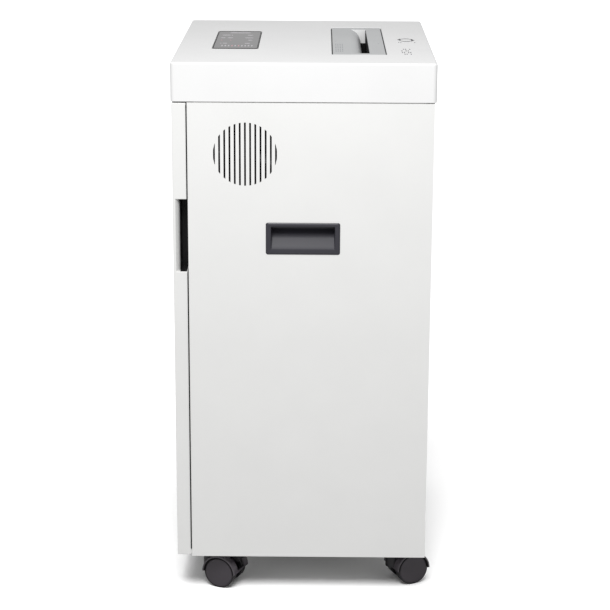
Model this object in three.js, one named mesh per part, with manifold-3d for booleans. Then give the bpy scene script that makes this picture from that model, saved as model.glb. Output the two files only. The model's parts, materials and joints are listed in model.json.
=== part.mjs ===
// A cabinet paper shredder on four twin-wheel casters, as an assembly of separate solids.
// Millimetres. +X is the user's right, -Y the front, +Z up, and the floor is at z = 0 under the middle.
import * as THREE from "three";
import { mergeVertices } from "three/addons/utils/BufferGeometryUtils.js";
import Module from "manifold-3d";

const wasm = await Module();
wasm.setup();

// ---------------------------------------------------------------- driving dimensions
const HEIGHT = 670; // floor to the top cover
const UNDERSIDE = 50; // floor to the cabinet
const SHEET = 1.5; // steel sheet
const GAP = 0.3; // between pieces that touch
const COVER = { half: 200, front: -156, rear: 156, base: 623.9, wall: 2.5, corner: 4 };
const CABINET = { half: 198.5, front: -137, rear: 154, top: 622.9 };
const INSIDE = CABINET.half - SHEET; // inner face of a side panel
const FLANGE = 9; // a side panel's front return
const DECK_TOP = 513.5; // floor of the machine space
const DRAWER = { front: -155, back: -138.2, bottom: 52, top: 622.2, wall: 2 };
const THROAT = { half: 113, front: 72, rear: 79, shoulder: 56, foot: 613 }; // the paper slot
const INSERT = { half: 127, front: 34, rear: 98.5 };
const CONTROLS = { half: 84, front: -113.4, rear: -57.2, corner: 4 };
const VENT = { y: -68.8, z: 561.4, radius: 38, pitch: 6.1, slot: 2.2 };
const GRIP = { half: 44.4, bottom: 440, top: 479 };
// The finger pull in the drawer front.
const NOTCH = { bottom: 417.9, top: 506.6, front: -147, depth: 37.5, bevel: [8.5, 5] };
const CASTER = { x: 156.5, y: 116, trail: 20, wheel: 20, hood: 22.4, wall: 1.4 };
const MESH = { module: 2, fine: 1.5 }; // gear modules
const TEETH = { sync: 17, drive: 44, idlerSmall: 12, idlerLarge: 48, pinion: 10 };
const CUTTERS = { y: 74, z: 590, disc: 19.5, core: 13.5, pitch: 12, thick: 5.4, count: 19 };
const JOURNAL = 7; // radius of a cutter shaft where it turns in its frame
const FRAME = { near: 121, far: 125 }; // the cutter frames' faces, from the middle
const SHAFT_SPACING = MESH.module * TEETH.sync;
const MOTOR = { y: -35, z: 562, radius: 34 };
const SLIDE = { wall: 1.2, length: 256, z: 82, outer: 185.2 };
const CURVE = 20; // sides of a round piece
const SMALL = 12; // sides of a small or hidden one

const FINISH = {
  coat: { color: 0xf2f2f0, roughness: 0.45, metalness: 0.0 },
  insert: { color: 0xbfc1c4, roughness: 0.5, metalness: 0.0 },
  glass: { color: 0x2a282b, roughness: 0.15, metalness: 0.0 },
  grip: { color: 0x3c3b42, roughness: 0.5, metalness: 0.0 },
  caster: { color: 0x2b292d, roughness: 0.55, metalness: 0.0 },
  tyre: { color: 0x45414a, roughness: 0.6, metalness: 0.0 },
  zinc: { color: 0xa9adb0, roughness: 0.35, metalness: 0.9 },
  steel: { color: 0x7d8084, roughness: 0.4, metalness: 0.9 },
  bin: { color: 0x3a3c40, roughness: 0.6, metalness: 0.0 },
  black: { color: 0x17181a, roughness: 0.5, metalness: 0.0 },
  board: { color: 0x1f5c3a, roughness: 0.5, metalness: 0.0 },
};

// ---------------------------------------------------------------- solids
function solidOf(geometry) {
  const bare = geometry.clone();
  bare.deleteAttribute("normal");
  bare.deleteAttribute("uv");
  const merged = mergeVertices(bare, 1e-4);
  return new wasm.Manifold(
    new wasm.Mesh({
      numProp: 3,
      vertProperties: new Float32Array(merged.attributes.position.array),
      triVerts: new Uint32Array(merged.index.array),
    }),
  );
}

function geometryOf(solid) {
  const mesh = solid.getMesh();
  const geometry = new THREE.BufferGeometry();
  geometry.setAttribute("position", new THREE.BufferAttribute(mesh.vertProperties, 3));
  geometry.setIndex(new THREE.BufferAttribute(mesh.triVerts, 1));
  geometry.computeVertexNormals();
  return geometry;
}

const join = (...solids) => solids.reduce((all, next) => all.add(next));
const cut = (solid, ...tools) => tools.reduce((left, tool) => left.subtract(tool), solid);

// A box between two values on each axis, given in either order.
function box(x, y, z) {
  const size = [x, y, z].map(([a, b]) => Math.abs(b - a));
  const middle = [x, y, z].map(([a, b]) => (a + b) / 2);
  return solidOf(new THREE.BoxGeometry(...size).translate(...middle));
}

// A profile of [y, z] points, extruded along X between two values.
function alongX(points, [from, to]) {
  const shape = new THREE.Shape(points.map(([y, z]) => new THREE.Vector2(y, z)));
  const geometry = extruded(shape, Math.abs(to - from));
  const turn = new THREE.Matrix4().set(0, 0, 1, 0, 1, 0, 0, 0, 0, 1, 0, 0, 0, 0, 0, 1);
  return solidOf(geometry.applyMatrix4(turn).translate(Math.min(from, to), 0, 0));
}

// A profile of [x, z] points, extruded along Y between two values.
function alongY(points, [from, to]) {
  const shape = new THREE.Shape(points.map(([x, z]) => new THREE.Vector2(x, z)));
  const geometry = extruded(shape, to - from).rotateX(Math.PI / 2);
  return solidOf(geometry.translate(0, to, 0));
}

function extruded(shape, depth) {
  return new THREE.ExtrudeGeometry(shape, { depth, bevelEnabled: false, curveSegments: 4 });
}

// A plate with rounded corners, flat in XY.
function roundedPlate([x0, x1], [y0, y1], [z0, z1], radius) {
  const shape = new THREE.Shape();
  shape.moveTo(x0 + radius, y0);
  shape.lineTo(x1 - radius, y0);
  shape.absarc(x1 - radius, y0 + radius, radius, -Math.PI / 2, 0);
  shape.absarc(x1 - radius, y1 - radius, radius, 0, Math.PI / 2);
  shape.absarc(x0 + radius, y1 - radius, radius, Math.PI / 2, Math.PI);
  shape.absarc(x0 + radius, y0 + radius, radius, Math.PI, Math.PI * 1.5);
  return solidOf(extruded(shape, z1 - z0).translate(0, 0, z0));
}

// A rod along X, centred on (y, z).
function rod(radius, [from, to], y = 0, z = 0, sides = CURVE) {
  const geometry = new THREE.CylinderGeometry(radius, radius, Math.abs(to - from), sides);
  return solidOf(geometry.rotateZ(-Math.PI / 2).translate((from + to) / 2, y, z));
}

// A rod along Z, centred on (x, y).
function post(radius, [from, to], x = 0, y = 0, sides = CURVE) {
  const geometry = new THREE.CylinderGeometry(radius, radius, to - from, sides);
  return solidOf(geometry.rotateX(Math.PI / 2).translate(x, y, (from + to) / 2));
}

// A profile of [radius, x] points turned about the X axis. It starts and ends on the axis.
function turned(profile, sides) {
  const points = profile.map(([radius, x]) => new THREE.Vector2(radius, x));
  return solidOf(new THREE.LatheGeometry(points, sides).rotateZ(-Math.PI / 2));
}

// ---------------------------------------------------------------- gears
// The outline of a spur gear in the YZ plane, with a tooth centred on the angle `phase` from +Y.
// Each flank is the chord of its involute from the root circle to the tip circle.
function gearOutline(teeth, module, phase) {
  const pressure = (20 * Math.PI) / 180;
  const backlash = 0.86; // share of the ideal tooth thickness
  const pitch = (teeth * module) / 2;
  const base = pitch * Math.cos(pressure);
  const involute = (radius) => {
    const angle = Math.acos(Math.min(1, base / radius));
    return Math.tan(angle) - angle;
  };
  const halfAngle = (radius) =>
    (Math.PI / (2 * teeth)) * backlash + involute(pitch) - involute(Math.max(radius, base));
  const radii = [pitch - 1.15 * module, pitch + 0.85 * module];
  const flank = radii.map((radius) => [radius, halfAngle(radius)]);
  const points = [];
  for (let tooth = 0; tooth < teeth; tooth++) {
    const middle = phase + (2 * Math.PI * tooth) / teeth;
    const rising = flank.map(([radius, half]) => [radius, middle - half]);
    const falling = flank.map(([radius, half]) => [radius, middle + half]).reverse();
    for (const [radius, angle] of [...rising, ...falling])
      points.push([radius * Math.cos(angle), radius * Math.sin(angle)]);
  }
  return points;
}

// The phase that puts a gap of the second gear on a tooth of the first, for centres at [y, z].
function meshedPhase(first, second) {
  const toward = Math.atan2(second.z - first.z, second.y - first.y);
  const ratio = first.teeth / second.teeth;
  return toward + Math.PI + (toward - first.phase) * ratio - Math.PI / second.teeth;
}

function gear({ teeth, phase, module, y, z }, [from, to], bore) {
  const outline = gearOutline(teeth, module, phase).map(([dy, dz]) => [y + dy, z + dz]);
  const blank = alongX(outline, [from, to]);
  return bore ? cut(blank, rod(bore, [from - 1, to + 1], y, z, SMALL)) : blank;
}

// Where two circles about the motor and the front cutter shaft cross: the idler's centre.
function idlerCentre(motor, cutter, toMotor, toCutter) {
  const [dy, dz] = [cutter.y - motor.y, cutter.z - motor.z];
  const span = Math.hypot(dy, dz);
  const along = (toMotor ** 2 - toCutter ** 2 + span ** 2) / (2 * span);
  const aside = Math.sqrt(toMotor ** 2 - along ** 2);
  return {
    y: motor.y + (along * dy + aside * dz) / span,
    z: motor.z + (along * dz - aside * dy) / span,
  };
}

// The gear train, each gear meshed with the one before it: sync pair, drive, idler pair, pinion.
function gearTrain() {
  const { module, fine } = MESH;
  const front = { y: CUTTERS.y - SHAFT_SPACING / 2, z: CUTTERS.z };
  const rear = { y: CUTTERS.y + SHAFT_SPACING / 2, z: CUTTERS.z };
  const toCutter = (module * (TEETH.drive + TEETH.idlerSmall)) / 2;
  const toMotor = (fine * (TEETH.pinion + TEETH.idlerLarge)) / 2;
  const idler = idlerCentre(MOTOR, front, toMotor, toCutter);
  const train = {
    syncFront: { teeth: TEETH.sync, module, phase: 0, ...front },
    syncRear: { teeth: TEETH.sync, module, ...rear },
    drive: { teeth: TEETH.drive, module, phase: 0, ...front },
    idlerSmall: { teeth: TEETH.idlerSmall, module, ...idler },
    idlerLarge: { teeth: TEETH.idlerLarge, module: fine, phase: 0, ...idler },
    pinion: { teeth: TEETH.pinion, module: fine, y: MOTOR.y, z: MOTOR.z },
  };
  train.syncRear.phase = meshedPhase(train.syncFront, train.syncRear);
  train.idlerSmall.phase = meshedPhase(train.drive, train.idlerSmall);
  train.pinion.phase = meshedPhase(train.idlerLarge, train.pinion);
  return train;
}

// ---------------------------------------------------------------- the scene graph
const shredder = new THREE.Group();

function add(name, solid, finish, parent = shredder) {
  const mesh = new THREE.Mesh(geometryOf(solid), new THREE.MeshStandardMaterial(FINISH[finish]));
  mesh.name = name;
  parent.add(mesh);
  return mesh;
}

const SIDES = [
  ["right", 1],
  ["left", -1],
];

// ---------------------------------------------------------------- cabinet
// Upright slots inside a circle, the outermost ones cut off by it.
function ventSlots(side) {
  const round = rod(VENT.radius, [side * 190, side * 205], VENT.y, VENT.z, 2 * CURVE);
  const slots = [];
  for (let i = -6; i <= 6; i++) {
    const y = VENT.y + i * VENT.pitch;
    const z = [VENT.z - 2 * VENT.radius, VENT.z + 2 * VENT.radius];
    slots.push(box([side * 190, side * 205], [y - VENT.slot / 2, y + VENT.slot / 2], z));
  }
  return join(...slots).intersect(round);
}

const CUP = { half: 41, bottom: 444.5, top: 478.2, depth: 22.8 };

function sidePanel(side, vented) {
  const height = [UNDERSIDE, CABINET.top];
  const sheet = box([side * INSIDE, side * CABINET.half], [CABINET.front, CABINET.rear], height);
  const front = [CABINET.front, CABINET.front + SHEET];
  const flange = box([side * (INSIDE - FLANGE), side * (INSIDE + 0.5)], front, height);
  const hole = box(
    [side * 190, side * 205],
    [-CUP.half - GAP, CUP.half + GAP],
    [CUP.bottom - GAP, CUP.top + GAP],
  );
  const panel = cut(join(sheet, flange), hole);
  return vented ? cut(panel, ventSlots(side)) : panel;
}

// A recessed carrying grip: a flange over the panel and a cup whose back slopes up behind the lip.
function gripCup(side) {
  const face = CABINET.half + GAP;
  const flange = box([side * face, side * COVER.half], [-GRIP.half, GRIP.half], [GRIP.bottom, GRIP.top]);
  const body = box(
    [side * (face - CUP.depth), side * (face + 0.5)],
    [-CUP.half, CUP.half],
    [CUP.bottom, CUP.top],
  );
  const back = face - CUP.depth + 5;
  const pocket = [
    [back, 468],
    [back, 476],
    [face - 2.5, 476],
    [face - 2.5, 474.2],
    [face + 5, 474.2],
    [face + 5, 447],
    [face + 0.2, 447],
  ].map(([x, z]) => [side * x, z]);
  return cut(join(flange, body), alongY(pocket, [-38.5, 38.5]));
}

const BASE_TOP = UNDERSIDE + GAP + SHEET;

// The cabinet's floor, with an upstand at each side that carries a drawer slide.
function basePanel() {
  const depth = [CABINET.front + SHEET + GAP, CABINET.rear - SHEET - GAP];
  const plate = box([-INSIDE + GAP, INSIDE - GAP], depth, [UNDERSIDE + GAP, BASE_TOP]);
  const upstands = SIDES.map(([, side]) => {
    const x = [side * (SLIDE.outer + GAP), side * (SLIDE.outer + GAP + SHEET)];
    return box(x, depth, [BASE_TOP - 0.5, SLIDE.z + 30]);
  });
  return join(plate, ...upstands);
}

const INLET = { x: -150, half: 13.5, bottom: 562, top: 608, depth: 24 };

// The rear panel, with air slots and the opening for the power inlet.
function backPanel() {
  const y = [CABINET.rear - SHEET, CABINET.rear];
  const plate = box([-INSIDE + GAP, INSIDE - GAP], y, [BASE_TOP + GAP, CABINET.top]);
  const through = [y[0] - 5, y[1] + 5];
  const slots = [];
  for (const middle of [-60, 60])
    for (let row = 0; row < 7; row++) {
      const z = 545 + 8 * row;
      slots.push(box([middle - 40, middle + 40], through, [z, z + 3]));
    }
  const x = [INLET.x - INLET.half - GAP, INLET.x + INLET.half + GAP];
  const inlet = box(x, through, [INLET.bottom - GAP, INLET.top + GAP]);
  return cut(plate, ...slots, inlet);
}

const CHUTE = { half: 117.5, front: 36, rear: 112 };

// The floor of the machine space and its front wall, with the chute above the bin.
function headDeck() {
  const x = [-INSIDE + GAP, INSIDE - GAP];
  const front = CABINET.front + SHEET + GAP;
  const floor = box(x, [front, CABINET.rear - SHEET - GAP], [DECK_TOP - SHEET, DECK_TOP]);
  const wall = box(x, [front, front + SHEET], [DECK_TOP - 1, CABINET.top - GAP]);
  const chute = box([-CHUTE.half, CHUTE.half], [CHUTE.front, CHUTE.rear], [500, 520]);
  return cut(join(floor, wall), chute);
}

// A switched mains inlet: a flange on the rear panel, the rocker's well and the plug's recess.
const ROCKER = { y: 150.3, z: 597, half: 6, tilt: (10 * Math.PI) / 180 };

function powerInlet() {
  const { x, half, bottom, top, depth } = INLET;
  const face = CABINET.rear + GAP;
  const flange = box([x - half - 2, x + half + 2], [face, face + 1.3], [bottom - 2, top + 2]);
  const body = box([x - half, x + half], [face - depth, face + 0.5], [bottom, top]);
  const well = box([x - 6.6, x + 6.6], [144, 160], [ROCKER.z - 9, ROCKER.z + 9]);
  const recess = box([x - 11.5, x + 11.5], [136, 160], [bottom + 3, bottom + 19]);
  const pins = [-7, 0, 7].map((dx) => box([x + dx - 1, x + dx + 1], [135, 151], [571, 576]));
  return join(cut(join(flange, body), well, recess), ...pins);
}

// The rocker, drawn level; its group tilts it to the off position.
function switchRocker() {
  const face = [
    [-4, -8],
    [-4, 8],
    [3.8, 8],
    [2.2, 0],
    [3.8, -8],
  ];
  return alongX(face, [-ROCKER.half, ROCKER.half]);
}

for (const [name, side] of SIDES) {
  add(`side_panel_${name}`, sidePanel(side, side > 0), "coat");
  add(`carry_grip_${name}`, gripCup(side), "grip");
}
add("base_panel", basePanel(), "coat");
add("back_panel", backPanel(), "coat");
add("head_deck", headDeck(), "zinc");
add("power_inlet", powerInlet(), "black");
const rockerPivot = new THREE.Group();
rockerPivot.position.set(INLET.x, ROCKER.y, ROCKER.z);
rockerPivot.rotation.x = ROCKER.tilt;
shredder.add(rockerPivot);
add("switch_rocker", switchRocker(), "black", rockerPivot);

// ---------------------------------------------------------------- top cover and its fittings
function topCover() {
  const { half, front, rear, base, wall, corner } = COVER;
  const shell = roundedPlate([-half, half], [front, rear], [base, HEIGHT], corner);
  const hollow = box([-half + wall, half - wall], [front + wall, rear - wall], [base - 5, HEIGHT - wall]);
  const lips = SIDES.map(([, side]) =>
    box([side * 194, side * (INSIDE - GAP)], [-130, 145], [base - 11, HEIGHT - wall + 0.5]),
  );
  const above = [HEIGHT - 10, HEIGHT + 5];
  const insertHole = box([-INSERT.half - 1, INSERT.half + 1], [INSERT.front - 1, INSERT.rear + 1], above);
  const controlHole = roundedPlate(
    [-CONTROLS.half - 0.4, CONTROLS.half + 0.4],
    [CONTROLS.front - 0.4, CONTROLS.rear + 0.4],
    above,
    CONTROLS.corner + 0.4,
  );
  return cut(join(cut(shell, hollow), ...lips), insertHole, controlHole);
}

// The throat: a plate with a slot whose front lip is a smooth shoulder and whose rear wall is upright.
function throatInsert() {
  const top = HEIGHT - 0.6;
  const seat = HEIGHT - COVER.wall - GAP;
  const plate = box([-INSERT.half, INSERT.half], [INSERT.front, INSERT.rear], [seat - 1, top]);
  const ledge = box(
    [-INSERT.half - 4, INSERT.half + 4],
    [INSERT.front - 4, INSERT.rear + 4],
    [seat - 2, seat],
  );
  const body = box([-118.5, 118.5], [50, 85], [THROAT.foot, seat - 1]);
  const drop = 17.5; // the shoulder's height, a quarter of an ellipse
  const reach = THROAT.front - THROAT.shoulder;
  const shoulder = [];
  for (let step = 0; step <= 6; step++) {
    const angle = (step / 6) * (Math.PI / 2);
    shoulder.push([THROAT.shoulder + reach * Math.sin(angle), top - drop * (1 - Math.cos(angle))]);
  }
  const opening = [
    [THROAT.shoulder, top + 5],
    ...shoulder,
    [THROAT.front, THROAT.foot - 5],
    [THROAT.rear, THROAT.foot - 5],
    [THROAT.rear, top + 5],
  ];
  return cut(join(plate, ledge, body), alongX(opening, [-THROAT.half, THROAT.half]));
}

// The touch panel: a glass plate flush with the cover, on a carrier that is wider than its opening.
function controlPanel() {
  const { half, front, rear, corner } = CONTROLS;
  const seat = HEIGHT - COVER.wall - GAP;
  const glass = roundedPlate([-half, half], [front, rear], [seat - 1, HEIGHT], corner);
  const carrier = box([-half - 4, half + 4], [front - 4, rear + 4], [seat - 2, seat]);
  return join(glass, carrier);
}

function controlBoard() {
  const board = box([-75, 75], [-108, -62], [657, 658.6]);
  const display = box([-30, 30], [-95, -75], [658, 664.5]);
  const plug = box([50, 68], [-104, -94], [658, 664]);
  return join(board, display, plug);
}

add("top_cover", topCover(), "coat");
add("throat_insert", throatInsert(), "insert");
add("control_panel", controlPanel(), "glass");
add("control_board", controlBoard(), "board");

// ---------------------------------------------------------------- cutters
const train = gearTrain();
const FRAME_FRONT = { right: 24, left: -76 }; // the left frame also carries the motor
const FRAME_REAR = 124;

function cutterFrame(name, side) {
  const y = [FRAME_FRONT[name], FRAME_REAR];
  const plate = box([side * FRAME.near, side * FRAME.far], y, [DECK_TOP + GAP, 620]);
  const foot = box([side * FRAME.near, side * (FRAME.far + 15)], y, [DECK_TOP + GAP, DECK_TOP + GAP + 2]);
  const through = [side * (FRAME.near - 5), side * (FRAME.far + 5)];
  const holes = [train.syncFront, train.syncRear].map(({ y, z }) => rod(JOURNAL + 0.6, through, y, z, SMALL));
  if (name === "left") {
    holes.push(rod(5.5, through, train.idlerSmall.y, train.idlerSmall.z, SMALL));
    holes.push(rod(10, through, MOTOR.y, MOTOR.z));
  }
  return cut(join(plate, foot), ...holes);
}

// The first and last disc centres of a cutter shaft; the rear shaft's discs run in the front's gaps.
function discCentres(rear) {
  const count = CUTTERS.count + (rear ? 1 : 0);
  const first = (-(count - 1) * CUTTERS.pitch) / 2;
  return Array.from({ length: count }, (_, i) => first + i * CUTTERS.pitch);
}

// A cutter shaft along X about its own axis: journals at the ends and discs on a thick core.
function cutterShaft(rear, [from, to]) {
  const core = 118;
  const profile = [
    [0, from],
    [JOURNAL, from],
    [JOURNAL, -core],
    [CUTTERS.core, -core],
  ];
  for (const x of discCentres(rear)) {
    const [near, far] = [x - CUTTERS.thick / 2, x + CUTTERS.thick / 2];
    profile.push([CUTTERS.core, near], [CUTTERS.disc, near], [CUTTERS.disc, far], [CUTTERS.core, far]);
  }
  profile.push([CUTTERS.core, core], [JOURNAL, core], [JOURNAL, to], [0, to]);
  return turned(profile, 8);
}

// A comb whose fingers lie between a shaft's discs and strip the paper off them.
function stripperComb(rear) {
  const mirror = (y) => (rear ? 2 * CUTTERS.y - y : y);
  const bar = box([-120.7, 120.7], [mirror(28), mirror(34)], [575, 605]);
  const fingers = discCentres(!rear).map((x) =>
    box([x - 2.5, x + 2.5], [mirror(33), mirror(42.3)], [583, 597]),
  );
  return join(bar, ...fingers);
}

for (const [name, side] of SIDES) add(`cutter_frame_${name}`, cutterFrame(name, side), "zinc");
const shafts = [
  ["front", train.syncFront, [-136.3, 139]],
  ["rear", train.syncRear, [-126.8, 139]],
];
for (const [name, centre, ends] of shafts) {
  const shaft = add(`cutter_shaft_${name}`, cutterShaft(name === "rear", ends), "steel");
  shaft.position.set(0, centre.y, centre.z);
  add(`stripper_comb_${name}`, stripperComb(name === "rear"), "black");
}
add("sync_gear_front", gear(train.syncFront, [127, 137], JOURNAL + GAP), "steel");
add("sync_gear_rear", gear(train.syncRear, [127, 137], JOURNAL + GAP), "steel");
add("drive_gear", gear(train.drive, [-135.5, -127.5], JOURNAL + GAP), "steel");

// ---------------------------------------------------------------- motor, idler and fan
function motorBody() {
  const { y, z, radius } = MOTOR;
  const can = rod(radius, [-118, -10], y, z);
  const nose = rod(9.5, [-124.7, -117], y, z, SMALL);
  const bell = rod(radius - 5, [-11, -2], y, z);
  const cradle = box([-108, -22], [y - 24, y + 24], [DECK_TOP + GAP, z - radius + 10]);
  return cut(join(can, nose, bell, cradle), rod(4.6, [-130, 5], y, z, SMALL));
}

function motorRotor() {
  const shaft = rod(4, [-148, 6], MOTOR.y, MOTOR.z, SMALL);
  return join(shaft, gear(train.pinion, [-147, -138]));
}

// The idler: a large and a small gear on one spindle.
function idlerGear() {
  const spindle = rod(5, [-149, -114], train.idlerSmall.y, train.idlerSmall.z, SMALL);
  const large = gear(train.idlerLarge, [-146, -138.5]);
  const small = gear(train.idlerSmall, [-136.5, -127.5]);
  return join(spindle, large, small);
}

const FAN = { near: 168, far: 193, half: 40, bore: 37.5, hub: 14, blades: 7 };

function fanFrame() {
  const { near, far, half, bore, hub } = FAN;
  const square = box([near, far], [VENT.y - half, VENT.y + half], [VENT.z - half, VENT.z + half]);
  const ring = cut(square, rod(bore, [near - 1, far + 1], VENT.y, VENT.z));
  const seat = rod(hub, [near, near + 5], VENT.y, VENT.z, SMALL);
  const across = box([near, near + 3], [VENT.y - bore - 1, VENT.y + bore + 1], [VENT.z - 2, VENT.z + 2]);
  const upright = box([near, near + 3], [VENT.y - 2, VENT.y + 2], [VENT.z - bore - 1, VENT.z + bore + 1]);
  return join(ring, seat, across, upright);
}

function fanRotor() {
  const { near, far, hub, blades } = FAN;
  const parts = [rod(hub, [near + 6, far - 3], 0, 0, SMALL)];
  for (let i = 0; i < blades; i++) {
    const blade = new THREE.BoxGeometry(2, 21, 24).translate(0, 0, 24);
    blade.rotateZ(Math.PI / 5).rotateX((2 * Math.PI * i) / blades);
    parts.push(solidOf(blade.translate((near + far) / 2 + 1.5, 0, 0)));
  }
  const swept = rod(FAN.bore - 1.5, [near + 6, far - 3], 0, 0);
  return join(...parts).intersect(swept);
}

add("motor_body", motorBody(), "steel");
add("motor_rotor", motorRotor(), "steel");
add("idler_gear", idlerGear(), "steel");
add("fan_frame", fanFrame(), "black");
add("fan_rotor", fanRotor(), "black").position.set(0, VENT.y, VENT.z);

// ---------------------------------------------------------------- pull-out drawer
const drawer = new THREE.Group();
shredder.add(drawer);
const NOTCH_IN = CABINET.half - NOTCH.depth; // how far in the finger notch reaches

// The drawer's front: a pan open to the rear, with a walled finger notch in each side.
function frontPanel() {
  const { front, back, bottom, top, wall } = DRAWER;
  const half = CABINET.half;
  const pan = cut(
    box([-half, half], [front, back], [bottom, top]),
    box([-half + wall, half - wall], [front + wall, back + 5], [bottom + wall, top - wall]),
  );
  const parts = [pan];
  const depth = [front + wall - 0.5, back - SHEET - 2 * GAP];
  for (const [, side] of SIDES) {
    const x = [side * (NOTCH_IN - wall), side * (half - 0.5)];
    const height = [NOTCH.bottom - wall, NOTCH.top + wall];
    parts.push(box(x, depth, [NOTCH.top, height[1]]));
    parts.push(box(x, depth, [height[0], NOTCH.bottom]));
    parts.push(box([x[0], side * NOTCH_IN], depth, height));
    parts.push(box([side * 188, x[1]], [depth[0], NOTCH.front], height)); // thick enough to slope
  }
  const bevels = SIDES.map(([, side]) => notchBevel(side));
  return cut(join(...parts), ...notches([NOTCH.front, back + 5]), ...bevels);
}

function notches(y) {
  return SIDES.map(([, side]) => box([side * NOTCH_IN, side * 205], y, [NOTCH.bottom, NOTCH.top]));
}

// What the slope from the drawer's skin into its finger notch takes away.
function notchBevel(side) {
  const [skin, edge] = [CABINET.half, NOTCH.front];
  const [inward, forward] = NOTCH.bevel;
  const corners = [
    [skin + 0.2 * inward, edge - 1.2 * forward],
    [skin + 0.2 * inward, edge + 0.2 * forward],
    [skin - 1.2 * inward, edge + 0.2 * forward],
  ];
  const shape = new THREE.Shape(corners.map(([x, y]) => new THREE.Vector2(side * x, y)));
  return solidOf(extruded(shape, NOTCH.top - NOTCH.bottom).translate(0, 0, NOTCH.bottom));
}

// The sheet that closes the drawer front from behind.
function frontLiner() {
  const { back, bottom, top, wall } = DRAWER;
  const inset = wall + GAP;
  const x = [-CABINET.half + inset, CABINET.half - inset];
  const sheet = box(x, [back - 0.2 - SHEET, back - 0.2], [bottom + inset, top - inset]);
  return cut(sheet, ...notches([back - 5, back + 5]));
}

const TRAY = { half: 172.4, front: -137.9, rear: 122, bottom: 59 };

function drawerTray() {
  const { half, front, rear, bottom } = TRAY;
  const floor = box([-half, half], [front, rear], [bottom, bottom + SHEET]);
  const walls = [
    box([-half, half], [front, front + SHEET], [bottom, 110]),
    box([-half, half], [rear - SHEET, rear], [bottom, 90]),
  ];
  for (const [, side] of SIDES)
    walls.push(box([side * half, side * (half - SHEET)], [front, rear], [bottom, 104]));
  return join(floor, ...walls);
}

const BIN = { half: 162, front: -130, rear: 114, bottom: 60.8, top: 492, wall: 2.5, taper: 0.96 };

// A box that narrows towards its foot.
function tapered(half, [front, rear], [bottom, top]) {
  const geometry = new THREE.BoxGeometry(2 * half, rear - front, top - bottom);
  const position = geometry.attributes.position;
  for (let i = 0; i < position.count; i++)
    if (position.getZ(i) < 0)
      position.setXYZ(i, position.getX(i) * BIN.taper, position.getY(i) * BIN.taper, position.getZ(i));
  return solidOf(geometry.translate(0, (front + rear) / 2, (bottom + top) / 2));
}

function wasteBin() {
  const { half, front, rear, bottom, top, wall } = BIN;
  const shell = tapered(half, [front, rear], [bottom, top]);
  const rim = box([-half - 5, half + 5], [front - 5, rear + 5], [top - 4, top]);
  const hollow = tapered(half - wall, [front + wall, rear - wall], [bottom + wall, top]);
  const mouth = box([wall - half, half - wall], [front + wall, rear - wall], [top - 1, top + 5]);
  const middle = (front + rear) / 2;
  const holds = box([-half - 20, half + 20], [middle - 45, middle + 45], [452, 476]);
  return cut(join(shell, rim), hollow, mouth, holds);
}

add("front_panel", frontPanel(), "coat", drawer);
add("front_liner", frontLiner(), "coat", drawer);
add("drawer_tray", drawerTray(), "zinc", drawer);
add("waste_bin", wasteBin(), "bin", drawer);

// A C-shaped slide member: a web at depth `web` from the cabinet and lips towards depth `edge`.
function slideMember(side, web, edge, height, [front, rear]) {
  const t = SLIDE.wall;
  const at = (depth) => side * (SLIDE.outer - depth);
  const inner = edge > web ? web + t : web - t;
  const [low, high] = [SLIDE.z - height, SLIDE.z + height];
  return join(
    box([at(web), at(inner)], [front, rear], [low, high]),
    box([at(web), at(edge)], [front, rear], [high - t, high]),
    box([at(web), at(edge)], [front, rear], [low, low + t]),
  );
}

for (const [name, side] of SIDES) {
  const run = (front) => [front, front + SLIDE.length];
  add(`slide_outer_${name}`, slideMember(side, 0, 9, 17.5, run(-134)), "zinc");
  add(`slide_middle_${name}`, slideMember(side, 1.8, 10.5, 14.5, run(-133)), "zinc");
  add(`slide_inner_${name}`, slideMember(side, 12.5, 3.8, 11.5, run(-135)), "zinc", drawer);
}

// The catch that holds the closed drawer, hung under the deck behind its steel liner.
function magnetCatch() {
  const under = DECK_TOP - SHEET - GAP;
  const body = box([-20, 20], [-134, -118], [under - 14, under]);
  const poles = [-9, 9].map((x) => box([x - 3, x + 3], [-137.4, -130], [under - 12, under - 3]));
  return join(body, ...poles);
}
add("magnet_catch", magnetCatch(), "black");

// ---------------------------------------------------------------- casters
// A caster's own frame has its swivel axis on Z, its axle along X and its wheels trailing to +Y.
const PLATE = { half: 21, bottom: 47.2, top: UNDERSIDE };
const AXLE = { radius: 3, half: 15.5 };
const WHEEL = { near: 7.5, far: 20 };
const BRAKE = { y: 20, z: 40.3, arm: 4.2 };

function casterPlate() {
  const plate = box([-PLATE.half, PLATE.half], [-PLATE.half, PLATE.half], [PLATE.bottom, PLATE.top]);
  return join(plate, post(4, [27, PLATE.bottom + 1], 0, 0, SMALL));
}

// A ring segment about the axle, from one angle to another, as a profile in YZ.
function arcBand(outer, inner, from, to, steps) {
  const arc = (radius, i) => {
    const angle = from + ((to - from) * i) / steps;
    return [CASTER.trail + radius * Math.cos(angle), CASTER.wheel + radius * Math.sin(angle)];
  };
  const count = [...Array(steps + 1).keys()];
  return [...count.map((i) => arc(outer, i)), ...count.reverse().map((i) => arc(inner, i))];
}

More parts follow.
